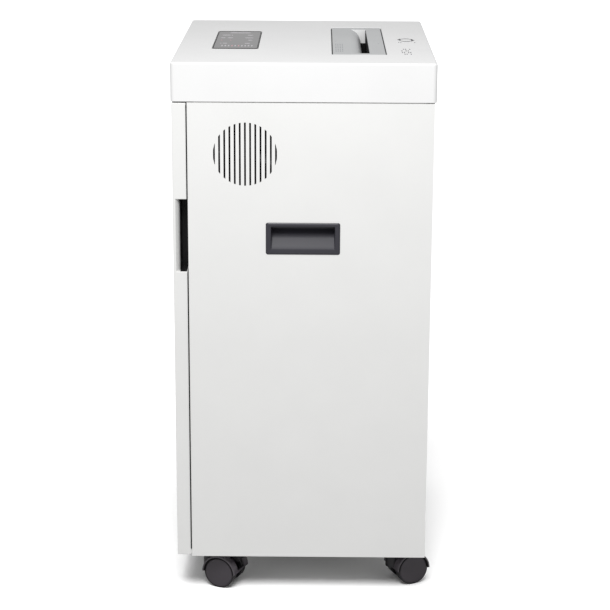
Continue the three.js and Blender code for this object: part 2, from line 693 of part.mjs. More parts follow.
function casterHood(braked) {
  const { trail, wheel, hood, wall } = CASTER;
  const span = [-WHEEL.far - 1, WHEEL.far + 1];
  const fender = alongX(arcBand(hood, hood - wall, 0, Math.PI, 12), span);
  const web = [
    [trail + 7, wheel - 7],
    ...arcBand(hood - 1, 0, 0.25, Math.PI - 0.1, 8).slice(0, 9),
    [trail - 16, wheel - 4],
    [trail - 7, wheel - 7],
  ];
  const solids = [fender, alongX(web, [-6.8, 6.8]), post(9, [22, 46], 0, 0, SMALL)];
  const tools = [
    post(4.5, [25, 60], 0, 0, SMALL),
    rod(AXLE.radius + GAP, [-10, 10], trail, wheel, 12),
  ];
  const wheels = [-1, 1].map((side) =>
    rod(hood - wall, [side * 6.8, side * 30], trail, wheel),
  );
  const carved = cut(join(...solids), ...wheels);
  if (braked) {
    tools.push(box([-4.6, 4.6], [15.5, 50], [34.5, 50]));
    tools.push(box([-9.8, 9.8], [30, 50], [22, 50]));
  }
  return cut(carved, ...tools);
}

function casterWheel(side) {
  const radius = CASTER.wheel / Math.cos(Math.PI / CURVE); // a flat of the polygon meets the floor
  const profile = [
    [0, AXLE.half + 1],
    [AXLE.radius + GAP, AXLE.half + 1],
    [AXLE.radius + GAP, WHEEL.near],
    [radius - 1, WHEEL.near],
    [radius, WHEEL.near + 1],
    [radius, WHEEL.far - 1.6],
    [radius - 1.3, WHEEL.far - 0.5],
    [0, WHEEL.far],
  ].map(([r, x]) => [r, side * x]);
  const points = (side > 0 ? profile : profile.reverse()).map(([r, x]) => new THREE.Vector2(r, x));
  const geometry = new THREE.LatheGeometry(points, CURVE, Math.PI / CURVE);
  return solidOf(geometry.rotateZ(-Math.PI / 2));
}

function brakePedal() {
  const { y, z, arm } = BRAKE;
  const lever = alongX(
    [
      [y, z + 2.4],
      [y, z - 2.4],
      [y + 13, z - 1],
      [y + 14, z + 2.4],
    ],
    [-arm, arm],
  );
  const boss = rod(2.5, [-arm, arm], y, z, 12);
  const tab = alongX(
    [
      [y + 12.9, z - 1],
      [y + 21.5, z - 6],
      [y + 23.7, z - 4.5],
      [y + 23.7, z - 1.5],
      [y + 21.5, z + 0.8],
      [y + 13.9, z + 2.4],
    ],
    [-9, 9],
  );
  return join(lever, boss, tab);
}

const CASTERS = [
  { name: "front_right", x: 1, y: -1, turn: -22, braked: true },
  { name: "rear_right", x: 1, y: 1, turn: 23, braked: false },
  { name: "front_left", x: -1, y: -1, turn: 203, braked: true },
  { name: "rear_left", x: -1, y: 1, turn: -18, braked: false },
];

for (const { name, x, y, turn, braked } of CASTERS) {
  const mount = new THREE.Group();
  mount.position.set(x * CASTER.x, y * CASTER.y, 0);
  const swivel = new THREE.Group();
  swivel.rotation.z = (turn * Math.PI) / 180;
  mount.add(swivel);
  shredder.add(mount);
  add(`caster_plate_${name}`, casterPlate(), "zinc", mount);
  add(`caster_hood_${name}`, casterHood(braked), "caster", swivel);
  const axle = rod(AXLE.radius, [-AXLE.half, AXLE.half], 0, 0, 12);
  add(`caster_axle_${name}`, axle, "zinc", swivel).position.set(0, CASTER.trail, CASTER.wheel);
  for (const [hand, side] of SIDES) {
    const wheel = add(`caster_wheel_${name}_${hand}`, casterWheel(side), "tyre", swivel);
    wheel.position.set(0, CASTER.trail, CASTER.wheel);
  }
  if (braked) add(`brake_pedal_${name}`, brakePedal(), "caster", swivel);
}

export default shredder;
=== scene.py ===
"""A white cabinet paper shredder on twin-wheel casters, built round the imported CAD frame.

Shapes are in millimetres in the frame's axes: +X the user's right, -Y the front, +Z up, and the
floor at z = 0.
"""
import json
import math
import random

import bmesh
import bpy
from mathutils import Matrix, Vector

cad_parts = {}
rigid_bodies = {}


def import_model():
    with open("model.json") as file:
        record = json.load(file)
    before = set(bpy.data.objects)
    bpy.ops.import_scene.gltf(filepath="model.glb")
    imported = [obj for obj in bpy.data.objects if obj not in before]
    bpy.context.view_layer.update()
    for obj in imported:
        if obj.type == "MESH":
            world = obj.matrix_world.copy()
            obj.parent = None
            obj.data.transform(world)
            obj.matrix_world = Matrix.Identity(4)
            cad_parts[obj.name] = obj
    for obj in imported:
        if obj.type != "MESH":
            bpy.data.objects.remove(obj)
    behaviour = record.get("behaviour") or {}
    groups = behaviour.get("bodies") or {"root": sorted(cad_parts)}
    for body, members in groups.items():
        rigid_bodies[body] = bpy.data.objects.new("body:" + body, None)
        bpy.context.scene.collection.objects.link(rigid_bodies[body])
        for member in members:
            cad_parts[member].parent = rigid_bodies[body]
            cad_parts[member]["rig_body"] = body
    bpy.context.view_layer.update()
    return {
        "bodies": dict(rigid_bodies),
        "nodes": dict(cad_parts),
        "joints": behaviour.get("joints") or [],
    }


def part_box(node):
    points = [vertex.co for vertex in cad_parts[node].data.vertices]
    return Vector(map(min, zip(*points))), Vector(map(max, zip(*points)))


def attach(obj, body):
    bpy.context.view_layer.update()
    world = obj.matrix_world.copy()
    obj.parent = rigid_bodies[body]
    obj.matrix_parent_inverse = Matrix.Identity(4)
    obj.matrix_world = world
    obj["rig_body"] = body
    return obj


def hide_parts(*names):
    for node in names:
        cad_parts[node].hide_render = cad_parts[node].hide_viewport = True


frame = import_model()

MM = 0.001
SIDES = {"right": 1, "left": -1}
CORNERS = ("front_right", "rear_right", "front_left", "rear_left")
JOINTS = {joint["name"]: joint for joint in frame["joints"]}


# ---- solids
class Solid:
    """Points in millimetres and the faces that index them. It may hold several closed shells."""

    def __init__(self, points=(), faces=()):
        self.points = [Vector(p) for p in points]
        self.faces = [tuple(f) for f in faces]

    def __add__(self, other):
        shift = len(self.points)
        moved = [tuple(i + shift for i in face) for face in other.faces]
        return Solid(self.points + other.points, self.faces + moved)

    def placed(self, matrix):
        faces = self.faces if matrix.determinant() > 0 else [f[::-1] for f in self.faces]
        return Solid([matrix @ p for p in self.points], faces)

    def moved(self, x=0, y=0, z=0):
        return self.placed(Matrix.Translation((x, y, z)))

    def turned(self, degrees, axis, about=(0, 0, 0)):
        there = Matrix.Translation(about)
        turn = Matrix.Rotation(math.radians(degrees), 4, axis)
        return self.placed(there @ turn @ there.inverted())

    def mirrored(self, axis):
        return self.placed(Matrix.Diagonal([-1 if a == axis else 1 for a in "XYZ"] + [1]))

    def sided(self, side):
        """The same solid for the right side (1) or mirrored for the left (-1)."""
        return self if side > 0 else self.mirrored("X")


def every(solids):
    return sum(solids, Solid())


def loft(rings, ends=True):
    """Rings of equal length joined in turn, capped at the ends or else closed into a loop."""
    count = len(rings[0])
    points = [p for ring in rings for p in ring]
    faces = []
    for i in range(len(rings) - (1 if ends else 0)):
        a, b = i * count, ((i + 1) % len(rings)) * count
        faces += [(a + k, a + (k + 1) % count, b + (k + 1) % count, b + k) for k in range(count)]
    if ends:
        last = (len(rings) - 1) * count
        faces += [tuple(range(count))[::-1], tuple(range(last, last + count))]
    return Solid(points, faces)


def flat(axis, u, v, w):
    """The point whose coordinates across the axis are u and v, at w along it."""
    return {"X": (w, u, v), "Y": (u, w, v), "Z": (u, v, w)}[axis]


def prism(outline, span, axis="Z"):
    return loft([[flat(axis, u, v, w) for u, v in outline] for w in span])


def block(x, y, z):
    return prism([(x[0], y[0]), (x[1], y[0]), (x[1], y[1]), (x[0], y[1])], z)


def polar(centre, radius, angle):
    return (centre[0] + radius * math.cos(angle), centre[1] + radius * math.sin(angle))


def lathe(profile, axis="X", centre=(0, 0), steps=48):
    """A profile of (radius, place along the axis) turned about the axis through the centre.

    It starts and ends on the axis, or it is a closed loop away from it.
    """
    points, faces, rows = [], [], []
    for radius, along in profile:
        row = []
        for k in range(steps if radius > 1e-6 else 1):
            u, v = polar(centre, radius, 2 * math.pi * k / steps)
            row.append(len(points))
            points.append(flat(axis, u, v, along))
        rows.append(row)
    closed = profile[0][0] > 1e-6
    for a, b in zip(rows, rows[1:] + ([rows[0]] if closed else [])):
        for k in range(steps):
            following = (k + 1) % steps
            face = [a[k % len(a)], a[following % len(a)], b[following % len(b)], b[k % len(b)]]
            faces.append(tuple(dict.fromkeys(face)))
    return Solid(points, faces)


def rod(radius, span, axis="X", centre=(0, 0), steps=32, chamfer=0.0):
    (a, b), c = span, chamfer
    if not c:
        return lathe([(0, a), (radius, a), (radius, b), (0, b)], axis, centre, steps)
    ends = [(0, a), (radius - c, a), (radius, a + c), (radius, b - c), (radius - c, b), (0, b)]
    return lathe(ends, axis, centre, steps)


def arc(centre, radius, start, end, steps):
    """Points on a circle, angles in degrees."""
    angles = [math.radians(start + (end - start) * k / steps) for k in range(steps + 1)]
    return [polar(centre, radius, angle) for angle in angles]


def rounded(u, v, radius, steps=6):
    """The outline of a rectangle from u[0] to u[1] and v[0] to v[1] with round corners."""
    corners = [
        ((u[1] - radius, v[0] + radius), -90),
        ((u[1] - radius, v[1] - radius), 0),
        ((u[0] + radius, v[1] - radius), 90),
        ((u[0] + radius, v[0] + radius), 180),
    ]
    return [p for centre, start in corners for p in arc(centre, radius, start, start + 90, steps)]


def ring(u, v, radius, w, axis, steps=6):
    return [flat(axis, a, b, w) for a, b in rounded(u, v, radius, steps)]


def extent(node):
    """A CAD node's box in millimetres, as three (low, high) pairs."""
    low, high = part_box(node)
    return [(low[i] / MM, high[i] / MM) for i in range(3)]


def grown(pair, by):
    return (pair[0] - by, pair[1] + by)


# ---- meshes and pieces
def mesh_of(solid):
    mesh = bpy.data.meshes.new("shape")
    mesh.from_pydata([p * MM for p in solid.points], [], solid.faces)
    work = bmesh.new()
    work.from_mesh(mesh)
    bmesh.ops.remove_doubles(work, verts=work.verts, dist=1e-7)
    bmesh.ops.recalc_face_normals(work, faces=work.faces)
    work.to_mesh(mesh)
    work.free()
    return mesh


def object_of(mesh, name):
    made = bpy.data.objects.new(name, mesh)
    bpy.context.scene.collection.objects.link(made)
    return made


def cooked(made):
    """Applies the object's modifiers to its mesh."""
    bpy.context.view_layer.update()
    graph = bpy.context.evaluated_depsgraph_get()
    result = bpy.data.meshes.new_from_object(made.evaluated_get(graph), depsgraph=graph)
    old = made.data
    made.modifiers.clear()
    made.data = result
    bpy.data.meshes.remove(old)


def carved(made, tools, operation="DIFFERENCE"):
    for tool in tools:
        cutter = object_of(mesh_of(tool), "tool")
        change = made.modifiers.new("cut", "BOOLEAN")
        change.operation = operation
        change.solver = "EXACT"
        change.object = cutter
        cooked(made)
        bpy.data.meshes.remove(cutter.data)


def softened(made, width, segments, limit):
    """Rounds the sharp edges, after removing the ones that lie in a flat face."""
    work = bmesh.new()
    work.from_mesh(made.data)
    bmesh.ops.remove_doubles(work, verts=work.verts, dist=2e-6)
    bmesh.ops.dissolve_limit(
        work, angle_limit=math.radians(0.5), verts=work.verts, edges=work.edges
    )
    work.to_mesh(made.data)
    work.free()
    change = made.modifiers.new("bevel", "BEVEL")
    change.width = width * MM
    change.segments = segments
    change.limit_method = "ANGLE"
    change.angle_limit = math.radians(limit)
    change.use_clamp_overlap = True
    cooked(made)


def finished(made, material, body, replaces, crease=35):
    """Gives a worked mesh its material, normals, body and the CAD nodes it stands for."""
    made.data.materials.clear()
    made.data.materials.append(material)
    made.data.shade_smooth()
    made.data.set_sharp_from_angle(angle=math.radians(crease))
    weighted = made.modifiers.new("normals", "WEIGHTED_NORMAL")
    weighted.keep_sharp = True
    cooked(made)
    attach(made, body)
    if replaces:
        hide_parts(*replaces)


def make(
    name, solid, look, body, replaces=(), cuts=(), joins=(),
    bevel=0.0, segments=2, limit=38, crease=35,
):
    """A piece of the object. look is a name in LOOKS, and cuts and joins are lists of solids."""
    made = object_of(mesh_of(solid), name)
    made.data.name = name
    carved(made, joins, "UNION")
    carved(made, cuts)
    if bevel:
        softened(made, bevel, segments, limit)
    material, slot = LOOKS[look]
    finished(made, material, body, replaces, crease)


REFINE_LIMIT = 30  # the least angle between two faces, in degrees, whose edge is rounded


def refine(node, look, bevel, segments=2, joins=()):
    """A CAD node's own shape with its edges rounded, in place of the node."""
    source = frame["nodes"][node]
    made = object_of(source.data.copy(), node + "_shape")
    work = bmesh.new()
    work.from_mesh(made.data)
    bmesh.ops.remove_doubles(work, verts=work.verts, dist=2e-6)
    work.to_mesh(made.data)
    work.free()
    if "custom_normal" in made.data.attributes:
        made.data.attributes.remove(made.data.attributes["custom_normal"])
    carved(made, joins, "UNION")
    softened(made, bevel, segments, REFINE_LIMIT)
    material, slot = LOOKS[look]
    finished(made, material, frame["nodes"][node]["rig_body"], [node])


# ---- materials
def new_material(name):
    material = bpy.data.materials.new(name)
    material.use_nodes = True
    tree = material.node_tree
    shader = tree.nodes["Principled BSDF"]
    coords = tree.nodes.new("ShaderNodeTexCoord")
    return material, tree, shader, coords.outputs["Object"]


def texture(tree, kind, coords, stretch=(1, 1, 1), **inputs):
    node = tree.nodes.new(kind)
    source = coords
    if stretch != (1, 1, 1):
        mapping = tree.nodes.new("ShaderNodeMapping")
        mapping.inputs["Scale"].default_value = stretch
        tree.links.new(coords, mapping.inputs["Vector"])
        source = mapping.outputs["Vector"]
    tree.links.new(source, node.inputs["Vector"])
    for key, value in inputs.items():
        node.inputs[key].default_value = value
    return node


def noise(tree, coords, stretch=(1, 1, 1), **inputs):
    return texture(tree, "ShaderNodeTexNoise", coords, stretch, **inputs).outputs["Fac"]


def ramp(tree, source, low, high, start=0.3, stop=0.7):
    """A number or a colour that runs from low to high as the source goes from start to stop."""
    if isinstance(low, tuple):
        node = tree.nodes.new("ShaderNodeValToRGB")
        node.color_ramp.elements[0].position = start
        node.color_ramp.elements[0].color = (*low, 1)
        node.color_ramp.elements[1].position = stop
        node.color_ramp.elements[1].color = (*high, 1)
        tree.links.new(source, node.inputs["Fac"])
        return node.outputs["Color"]
    node = tree.nodes.new("ShaderNodeMapRange")
    node.inputs["From Min"].default_value = start
    node.inputs["From Max"].default_value = stop
    node.inputs["To Min"].default_value = low
    node.inputs["To Max"].default_value = high
    tree.links.new(source, node.inputs["Value"])
    return node.outputs["Result"]


def bumped(tree, shader, source, depth):
    bump = tree.nodes.new("ShaderNodeBump")
    bump.inputs["Distance"].default_value = depth * MM
    bump.inputs["Strength"].default_value = 1.0
    tree.links.new(source, bump.inputs["Height"])
    tree.links.new(bump.outputs["Normal"], shader.inputs["Normal"])


def shade(color, factor):
    return tuple(min(1.0, c * factor) for c in color)


def plastic(
    name, color, roughness, tone, grain, grain_size, metal=0.0, gloss=0.5, stretch=(1, 1, 1)
):
    """Paint, plastic or bare metal: slow shifts of tone, and a fine grain that varies the gloss.

    tone is the share that the colour shifts by. grain is the depth of the grain and grain_size
    its width, in millimetres.
    """
    material, tree, shader, coords = new_material(name)
    slow = noise(tree, coords, Scale=14.0, Detail=3.0)
    fine = noise(tree, coords, stretch, Scale=1 / (grain_size * MM), Detail=2.0)
    light, dark = shade(color, 1 + tone), shade(color, 1 - tone)
    tree.links.new(ramp(tree, slow, dark, light), shader.inputs["Base Color"])
    matt = ramp(tree, fine, roughness - 0.05, roughness + 0.05)
    tree.links.new(matt, shader.inputs["Roughness"])
    shader.inputs["Metallic"].default_value = metal
    shader.inputs["Specular IOR Level"].default_value = gloss
    bumped(tree, shader, fine, grain)
    return material


def zinc_plate(name):
    """Zinc-plated sheet, with faint crystals in it."""
    material, tree, shader, coords = new_material(name)
    crystals = texture(tree, "ShaderNodeTexVoronoi", coords, Scale=110.0)
    cloud = noise(tree, coords, Scale=9.0, Detail=5.0)
    mix = tree.nodes.new("ShaderNodeMath")
    mix.operation = "MULTIPLY_ADD"
    mix.inputs[1].default_value = 0.25
    tree.links.new(crystals.outputs["Color"], mix.inputs[0])
    tree.links.new(cloud, mix.inputs[2])
    tone = ramp(tree, mix.outputs["Value"], (0.42, 0.43, 0.45), (0.66, 0.67, 0.68), 0.35, 0.9)
    tree.links.new(tone, shader.inputs["Base Color"])
    tree.links.new(ramp(tree, mix.outputs["Value"], 0.3, 0.5, 0.3, 0.9), shader.inputs["Roughness"])
    shader.inputs["Metallic"].default_value = 0.9
    bumped(tree, shader, crystals.outputs["Distance"], 0.01)
    return material


def touch_glass(name):
    """Dark polished glass with the faint haze of handling."""
    material, tree, shader, coords = new_material(name)
    haze = noise(tree, coords, Scale=34.0, Detail=6.0)
    tone = ramp(tree, haze, (0.017, 0.012, 0.015), (0.027, 0.02, 0.025))
    polish = ramp(tree, haze, 0.05, 0.13, 0.4, 0.75)
    tree.links.new(tone, shader.inputs["Base Color"])
    tree.links.new(polish, shader.inputs["Roughness"])
    shader.inputs["Coat Weight"].default_value = 0.4
    shader.inputs["Coat Roughness"].default_value = 0.04
    bumped(tree, shader, haze, 0.004)
    return material


def circuit(name):
    """Green solder mask over a grid of copper tracks."""
    material, tree, shader, coords = new_material(name)
    tracks = texture(tree, "ShaderNodeTexBrick", coords, Scale=170.0)
    tracks.inputs["Mortar Size"].default_value = 0.03
    tracks.inputs["Color1"].default_value = (0.012, 0.10, 0.045, 1)
    tracks.inputs["Color2"].default_value = (0.014, 0.12, 0.05, 1)
    tracks.inputs["Mortar"].default_value = (0.03, 0.2, 0.08, 1)
    tree.links.new(tracks.outputs["Color"], shader.inputs["Base Color"])
    cloud = noise(tree, coords, Scale=60.0)
    tree.links.new(ramp(tree, cloud, 0.25, 0.4), shader.inputs["Roughness"])
    bumped(tree, shader, tracks.outputs["Fac"], 0.03)
    return material


def lit(name, color, strength):
    """A lamp behind the glass, brightest in blotches."""
    material, tree, shader, coords = new_material(name)
    tone = ramp(tree, noise(tree, coords, Scale=300.0), shade(color, 0.8), color)
    tree.links.new(tone, shader.inputs["Base Color"])
    tree.links.new(tone, shader.inputs["Emission Color"])
    shader.inputs["Emission Strength"].default_value = strength
    shader.inputs["Roughness"].default_value = 0.4
    return material


# look, record slot, material, colour, roughness, tone, grain, grain size
PLAIN = [
    ("coat", "white_coat", "white_powder_coat", (0.86, 0.86, 0.85), 0.46, 0.012, 0.012, 1.1),
    ("cover", "white_cover", "white_moulding", (0.87, 0.87, 0.87), 0.4, 0.012, 0.01, 0.5),
    ("silver", "silver_plastic", "silver_plastic", (0.56, 0.57, 0.575), 0.42, 0.03, 0.008, 0.4),
    ("grip", "grip_grey", "grip_plastic", (0.038, 0.037, 0.047), 0.34, 0.06, 0.012, 0.5),
    ("caster", "caster_plastic", "caster_plastic", (0.012, 0.011, 0.013), 0.34, 0.08, 0.015, 0.7),
    ("hood", "caster_plastic", "hood_nylon", (0.085, 0.075, 0.086), 0.38, 0.08, 0.015, 0.7),
    # painted shadow: near-black for the gap between each caster's hood and its wheels
    ("shadow", "caster_plastic", "matt_nylon", (0.006, 0.006, 0.006), 0.6, 0.1, 0.01, 0.5),
    # painted shade: near-black for the throat slot's walls and the drawer's seam
    ("matt", "black_plastic", "matt_black_plastic", (0.008, 0.008, 0.008), 0.7, 0.1, 0.02, 0.6),
    ("wheel", "wheel_nylon", "wheel_nylon", (0.052, 0.045, 0.053), 0.44, 0.1, 0.02, 0.9),
    ("steel", "cutter_steel", "machined_steel", (0.5, 0.5, 0.5), 0.32, 0.08, 0.01, 0.6),
    ("dark_steel", "cutter_steel", "motor_paint", (0.05, 0.052, 0.056), 0.4, 0.08, 0.02, 0.8),
    ("black", "black_plastic", "black_plastic", (0.012, 0.012, 0.013), 0.45, 0.08, 0.012, 0.6),
    ("bin", "bin_plastic", "bin_plastic", (0.05, 0.052, 0.056), 0.5, 0.06, 0.03, 1.6),
    ("chip", "circuit_board", "chip_resin", (0.03, 0.03, 0.032), 0.5, 0.1, 0.01, 0.3),
    ("ink", "white_cover", "printed_ink", (0.16, 0.16, 0.17), 0.5, 0.1, 0.002, 0.5),
    ("pale_ink", "dark_glass", "pale_ink", (0.56, 0.54, 0.57), 0.4, 0.06, 0.002, 0.5),
    ("border", "dark_glass", "panel_border", (0.02, 0.018, 0.02), 0.6, 0.06, 0.002, 0.5),
    ("grey_ink", "silver_plastic", "grey_ink", (0.3, 0.31, 0.33), 0.45, 0.1, 0.002, 0.5),
]
SPECIAL = {
    "silver": {"metal": 0.15},
    "shadow": {"gloss": 0.1},
    "matt": {"gloss": 0.15},
    "steel": {"metal": 1.0, "stretch": (1, 8, 8)},  # turning marks round the X axis
    "dark_steel": {"metal": 0.4},
    "border": {"gloss": 0.15},
}

# A look's name to its material and the record's slot that it belongs to.
LOOKS = {
    look: (plastic(*values, **SPECIAL.get(look, {})), slot) for look, slot, *values in PLAIN
}
LOOKS["glass"] = (touch_glass("touch_glass"), "dark_glass")
LOOKS["zinc"] = (zinc_plate("zinc_plate"), "zinc_steel")
LOOKS["board"] = (circuit("circuit_board"), "circuit_board")
LOOKS["lamp"] = (lit("red_lamp", (0.6, 0.33, 0.37), 0.03), "dark_glass")


# ---- small parts that repeat
def solid_of(made):
    """Turns a worked mesh back into a solid, and removes the object."""
    faces = [tuple(face.vertices) for face in made.data.polygons]
    solid = Solid([vertex.co / MM for vertex in made.data.vertices], faces)
    bpy.data.meshes.remove(made.data)
    return solid


def screw_template(radius=3.6, height=1.9):
    """A pan-head screw with a cross recess. Its seat is at z = 0 and it faces +Z."""
    dome = [(0, -0.6), (radius, -0.6), (radius, 0.5)]
    dome += [(radius * math.cos(a), 0.5 + (height - 0.5) * math.sin(a)) for a in (0.35, 0.75, 1.15)]
    dome += [(0, height)]
    made = object_of(mesh_of(lathe(dome, "Z", steps=32)), "screw")
    arm, half = radius * 0.62, radius * 0.13
    cross = [
        block((-arm, arm), (-half, half), (height - 1.3, height + 1)),
        block((-half, half), (-arm, arm), (height - 1.4, height + 1)),
    ]
    carved(made, cross)
    return solid_of(made)


SCREW = screw_template()
FACING = {
    "+X": Matrix.Rotation(math.radians(90), 4, "Y"),
    "-X": Matrix.Rotation(math.radians(-90), 4, "Y"),
    "+Y": Matrix.Rotation(math.radians(-90), 4, "X"),
    "-Z": Matrix.Rotation(math.radians(180), 4, "X"),
}


def screws(name, places, facing, body, size=1.0):
    """Screws with their heads' seats at the places, all facing one way."""
    turns = random.Random(7)
    heads = []
    for place in places:
        spin = Matrix.Rotation(turns.uniform(0, math.pi), 4, "Z")
        stand = Matrix.Translation(place) @ FACING[facing]
        heads.append(SCREW.placed(stand @ Matrix.Scale(size, 4) @ spin))
    make(name, every(heads), "zinc", body)


# ---- top cover
cover_x, cover_y, cover_z = extent("top_cover")
TOP = cover_z[1]
COVER_EDGE = 2.6  # radius of the upper edge
COVER_CORNER = 5.0
COVER_WALL = 2.5
SKIRT = 623.9  # the cover's lower edge
LEDGE = 4.0  # how far each fitting's flange reaches under the cover


def cover_ring(inset, z):
    radius = max(COVER_CORNER - inset, 1.0)
    return ring(grown(cover_x, -inset), grown(cover_y, -inset), radius, z, "Z", 10)


def build_cover():
    under = TOP - COVER_WALL
    rings = [cover_ring(COVER_WALL + 0.5, under), cover_ring(COVER_WALL, under - 0.5)]
    rings += [cover_ring(COVER_WALL, SKIRT + 0.2), cover_ring(COVER_WALL - 0.2, SKIRT)]
    rings += [cover_ring(0.5, SKIRT), cover_ring(0.12, SKIRT + 0.15), cover_ring(0, SKIRT + 0.5)]
    for step in range(9):  # the rounded upper edge
        angle = math.radians(90 * step / 8)
        inset, fall = COVER_EDGE * (1 - math.cos(angle)), COVER_EDGE * (1 - math.sin(angle))
        rings.append(cover_ring(inset, TOP - fall))
    through = (TOP - 10, TOP + 5)
    holes = []
    for node, gap, radius in (("throat_insert", 1, 0.8), ("control_panel", 0.4, 4.4)):
        x, y, _ = extent(node)
        holes.append(prism(rounded(grown(x, gap - LEDGE), grown(y, gap - LEDGE), radius), through))
    lip = block((194, 196.7), (-130, 145), (SKIRT - 11, under + 0.5))  # fits inside the panels
    make("top_cover_shell", loft(rings), "cover", "cabinet", ["top_cover"],
         joins=[lip.sided(side) for side in SIDES.values()], cuts=holes,
         bevel=0.4, segments=2, limit=50)


build_cover()

# ---- throat insert
THROAT_X = 113.0  # half the width that the paper has
THROAT_FRONT, THROAT_REAR = 72.0, 79.0
SHOULDER = 56.0  # where the front lip starts to fall towards the slot
LIP_DROP = 17.5  # how far it falls
INSERT_TOP = TOP - 0.6
CHUTE_X, CHUTE_Y = (-118.5, 118.5), (50, 85)


def build_insert():
    insert_x, insert_y, insert_z = extent("throat_insert")
    seat = TOP - COVER_WALL - 0.3
    outline = rounded(grown(insert_x, -4), grown(insert_y, -4.5), 0.6)
    plate = prism(outline, (seat - 1, INSERT_TOP))
    lip = INSERT_TOP - LIP_DROP + 2.2  # below it the throat is lined in black, painted shade for the deep narrow slot
    chute = block(CHUTE_X, CHUTE_Y, (lip, seat - 0.5))
    curve = []
    for step in range(33):
        angle = math.radians(90 * step / 32)
        reach = (THROAT_FRONT - SHOULDER) * math.sin(angle)
        curve.append((SHOULDER + reach, INSERT_TOP - LIP_DROP * (1 - math.cos(angle))))
    low, high = insert_z[0] - 5, TOP + 5
    sides = [(THROAT_FRONT, low), (THROAT_REAR, low), (THROAT_REAR, high)]
    slot = prism([(SHOULDER, high), *curve, *sides], (-THROAT_X, THROAT_X), "X")
    node = ["throat_insert"]
    make("throat_insert_moulding", plate, "silver", "cabinet", node, joins=[chute],
         cuts=[slot], bevel=0.55, segments=3, limit=40)
    flange = block(insert_x, insert_y, (seat - 2, seat))
    make("throat_insert_flange", flange, "black", "cabinet", node,
         cuts=[prism(outline, (seat - 5, seat + 5))], bevel=0.2)
    # painted shade: black lining on the slot's walls below the lip, where the narrow slot lies in
    # shade
    lining = block(CHUTE_X, CHUTE_Y, (insert_z[0], lip))
    make("throat_shade_lining", lining, "matt", "cabinet", node, cuts=[slot], bevel=0.3)
    # painted shade: a black sheet over the slot's rear wall
    rear = (THROAT_REAR - 0.5, THROAT_REAR)
    rear_shade_sheet = block((-THROAT_X, THROAT_X), rear, (lip, INSERT_TOP - 1.4))
    make("throat_rear_shade_sheet", rear_shade_sheet, "matt", "cabinet", node, bevel=0.15)
    # painted light: white plates over the silver end walls of the slot
    lit_plate_y, lit_plate_z = (SHOULDER, THROAT_REAR - 0.2), (lip - 2.9, INSERT_TOP - 0.5)
    stop = block((-THROAT_X - 0.4, -THROAT_X + 0.3), lit_plate_y, lit_plate_z)
    lit_plates = every([stop, stop.mirrored("X")])  # painted light: white plates on the slot's end walls, where those walls face the lamp
    make("throat_end_lit_plates", lit_plates, "cover", "cabinet", node)


build_insert()


# ---- touch panel and printed marks
INK = (-0.05, 0.04)  # how far a printed mark reaches below and above its face


def inked(z):
    """Where a mark printed on a face at height z begins and ends."""
    return (z + INK[0], z + INK[1])


def plates(name, outlines, z, look):
    """Thin printed shapes lying on a level face of the cabinet at height z."""
    make(name, every([prism(outline, inked(z)) for outline in outlines]), look, "cabinet")


def printed_loop(name, outer, inner, look):
    """A printed line between two outlines on the cover, each a function of the height."""
    low, high = inked(TOP)
    rings = [outer(low), outer(high), inner(high), inner(low)]
    make(name, loft(rings, ends=False), look, "cabinet")


def bar(x, y, length, width):
    u, v = (x - length / 2, x + length / 2), (y - width / 2, y + width / 2)
    return rounded(u, v, min(length, width) * 0.45, 4)


def dot(x, y, radius):
    return arc((x, y), radius, 0, 345, 23)


def build_touch_panel():
    x, y, z = extent("control_panel")
    edge_x, edge_y = grown(x, -4.2), grown(y, -4.3)
    glass = prism(rounded(edge_x, edge_y, 4.0, 12), (z[0] + 1, TOP))
    make("touch_panel_glass", glass, "glass", "cabinet", ["control_panel"],
         joins=[block(x, y, (z[0], z[0] + 2))], bevel=0.5, segments=3)

    def edge(inset_x, inset_y, radius):
        return lambda z: ring(grown(edge_x, -inset_x), grown(edge_y, -inset_y), radius, z, "Z", 12)

    printed_loop("touch_panel_border", edge(0.6, 0.5, 3.4), edge(5.6, 1.1, 2.8), "border")
    front = y[0] + 4
    marks = [bar(-66, front + 29, 6, 27)]
    columns = {  # x of a column to the place behind the front edge and the width of each bar in it
        -43: ((12, 11), (42.5, 7)),
        -17: ((9, 6), (18, 7), (42, 11)),
        5: ((44, 6),),
        34: ((13.5, 6), (41.5, 7)),
    }
    for column, bars in columns.items():
        marks += [bar(column, front + place, 5.5, width) for place, width in bars]
    marks += [bar(-43, front + 19.3, 5, 1.7), bar(34, front + 8.4, 5, 1.7)]
    lamps = [bar(5, front + place, 5, 1.8) for place in (8, 19.2)]
    for step in range(10):  # the row of keys
        target = lamps if step in (3, 5) else marks
        target.append(bar(56, front + 11 + 4.1 * step, 11, 1.8))
    plates("touch_panel_marks", marks, TOP, "pale_ink")
    plates("touch_panel_lamps", lamps, TOP, "lamp")


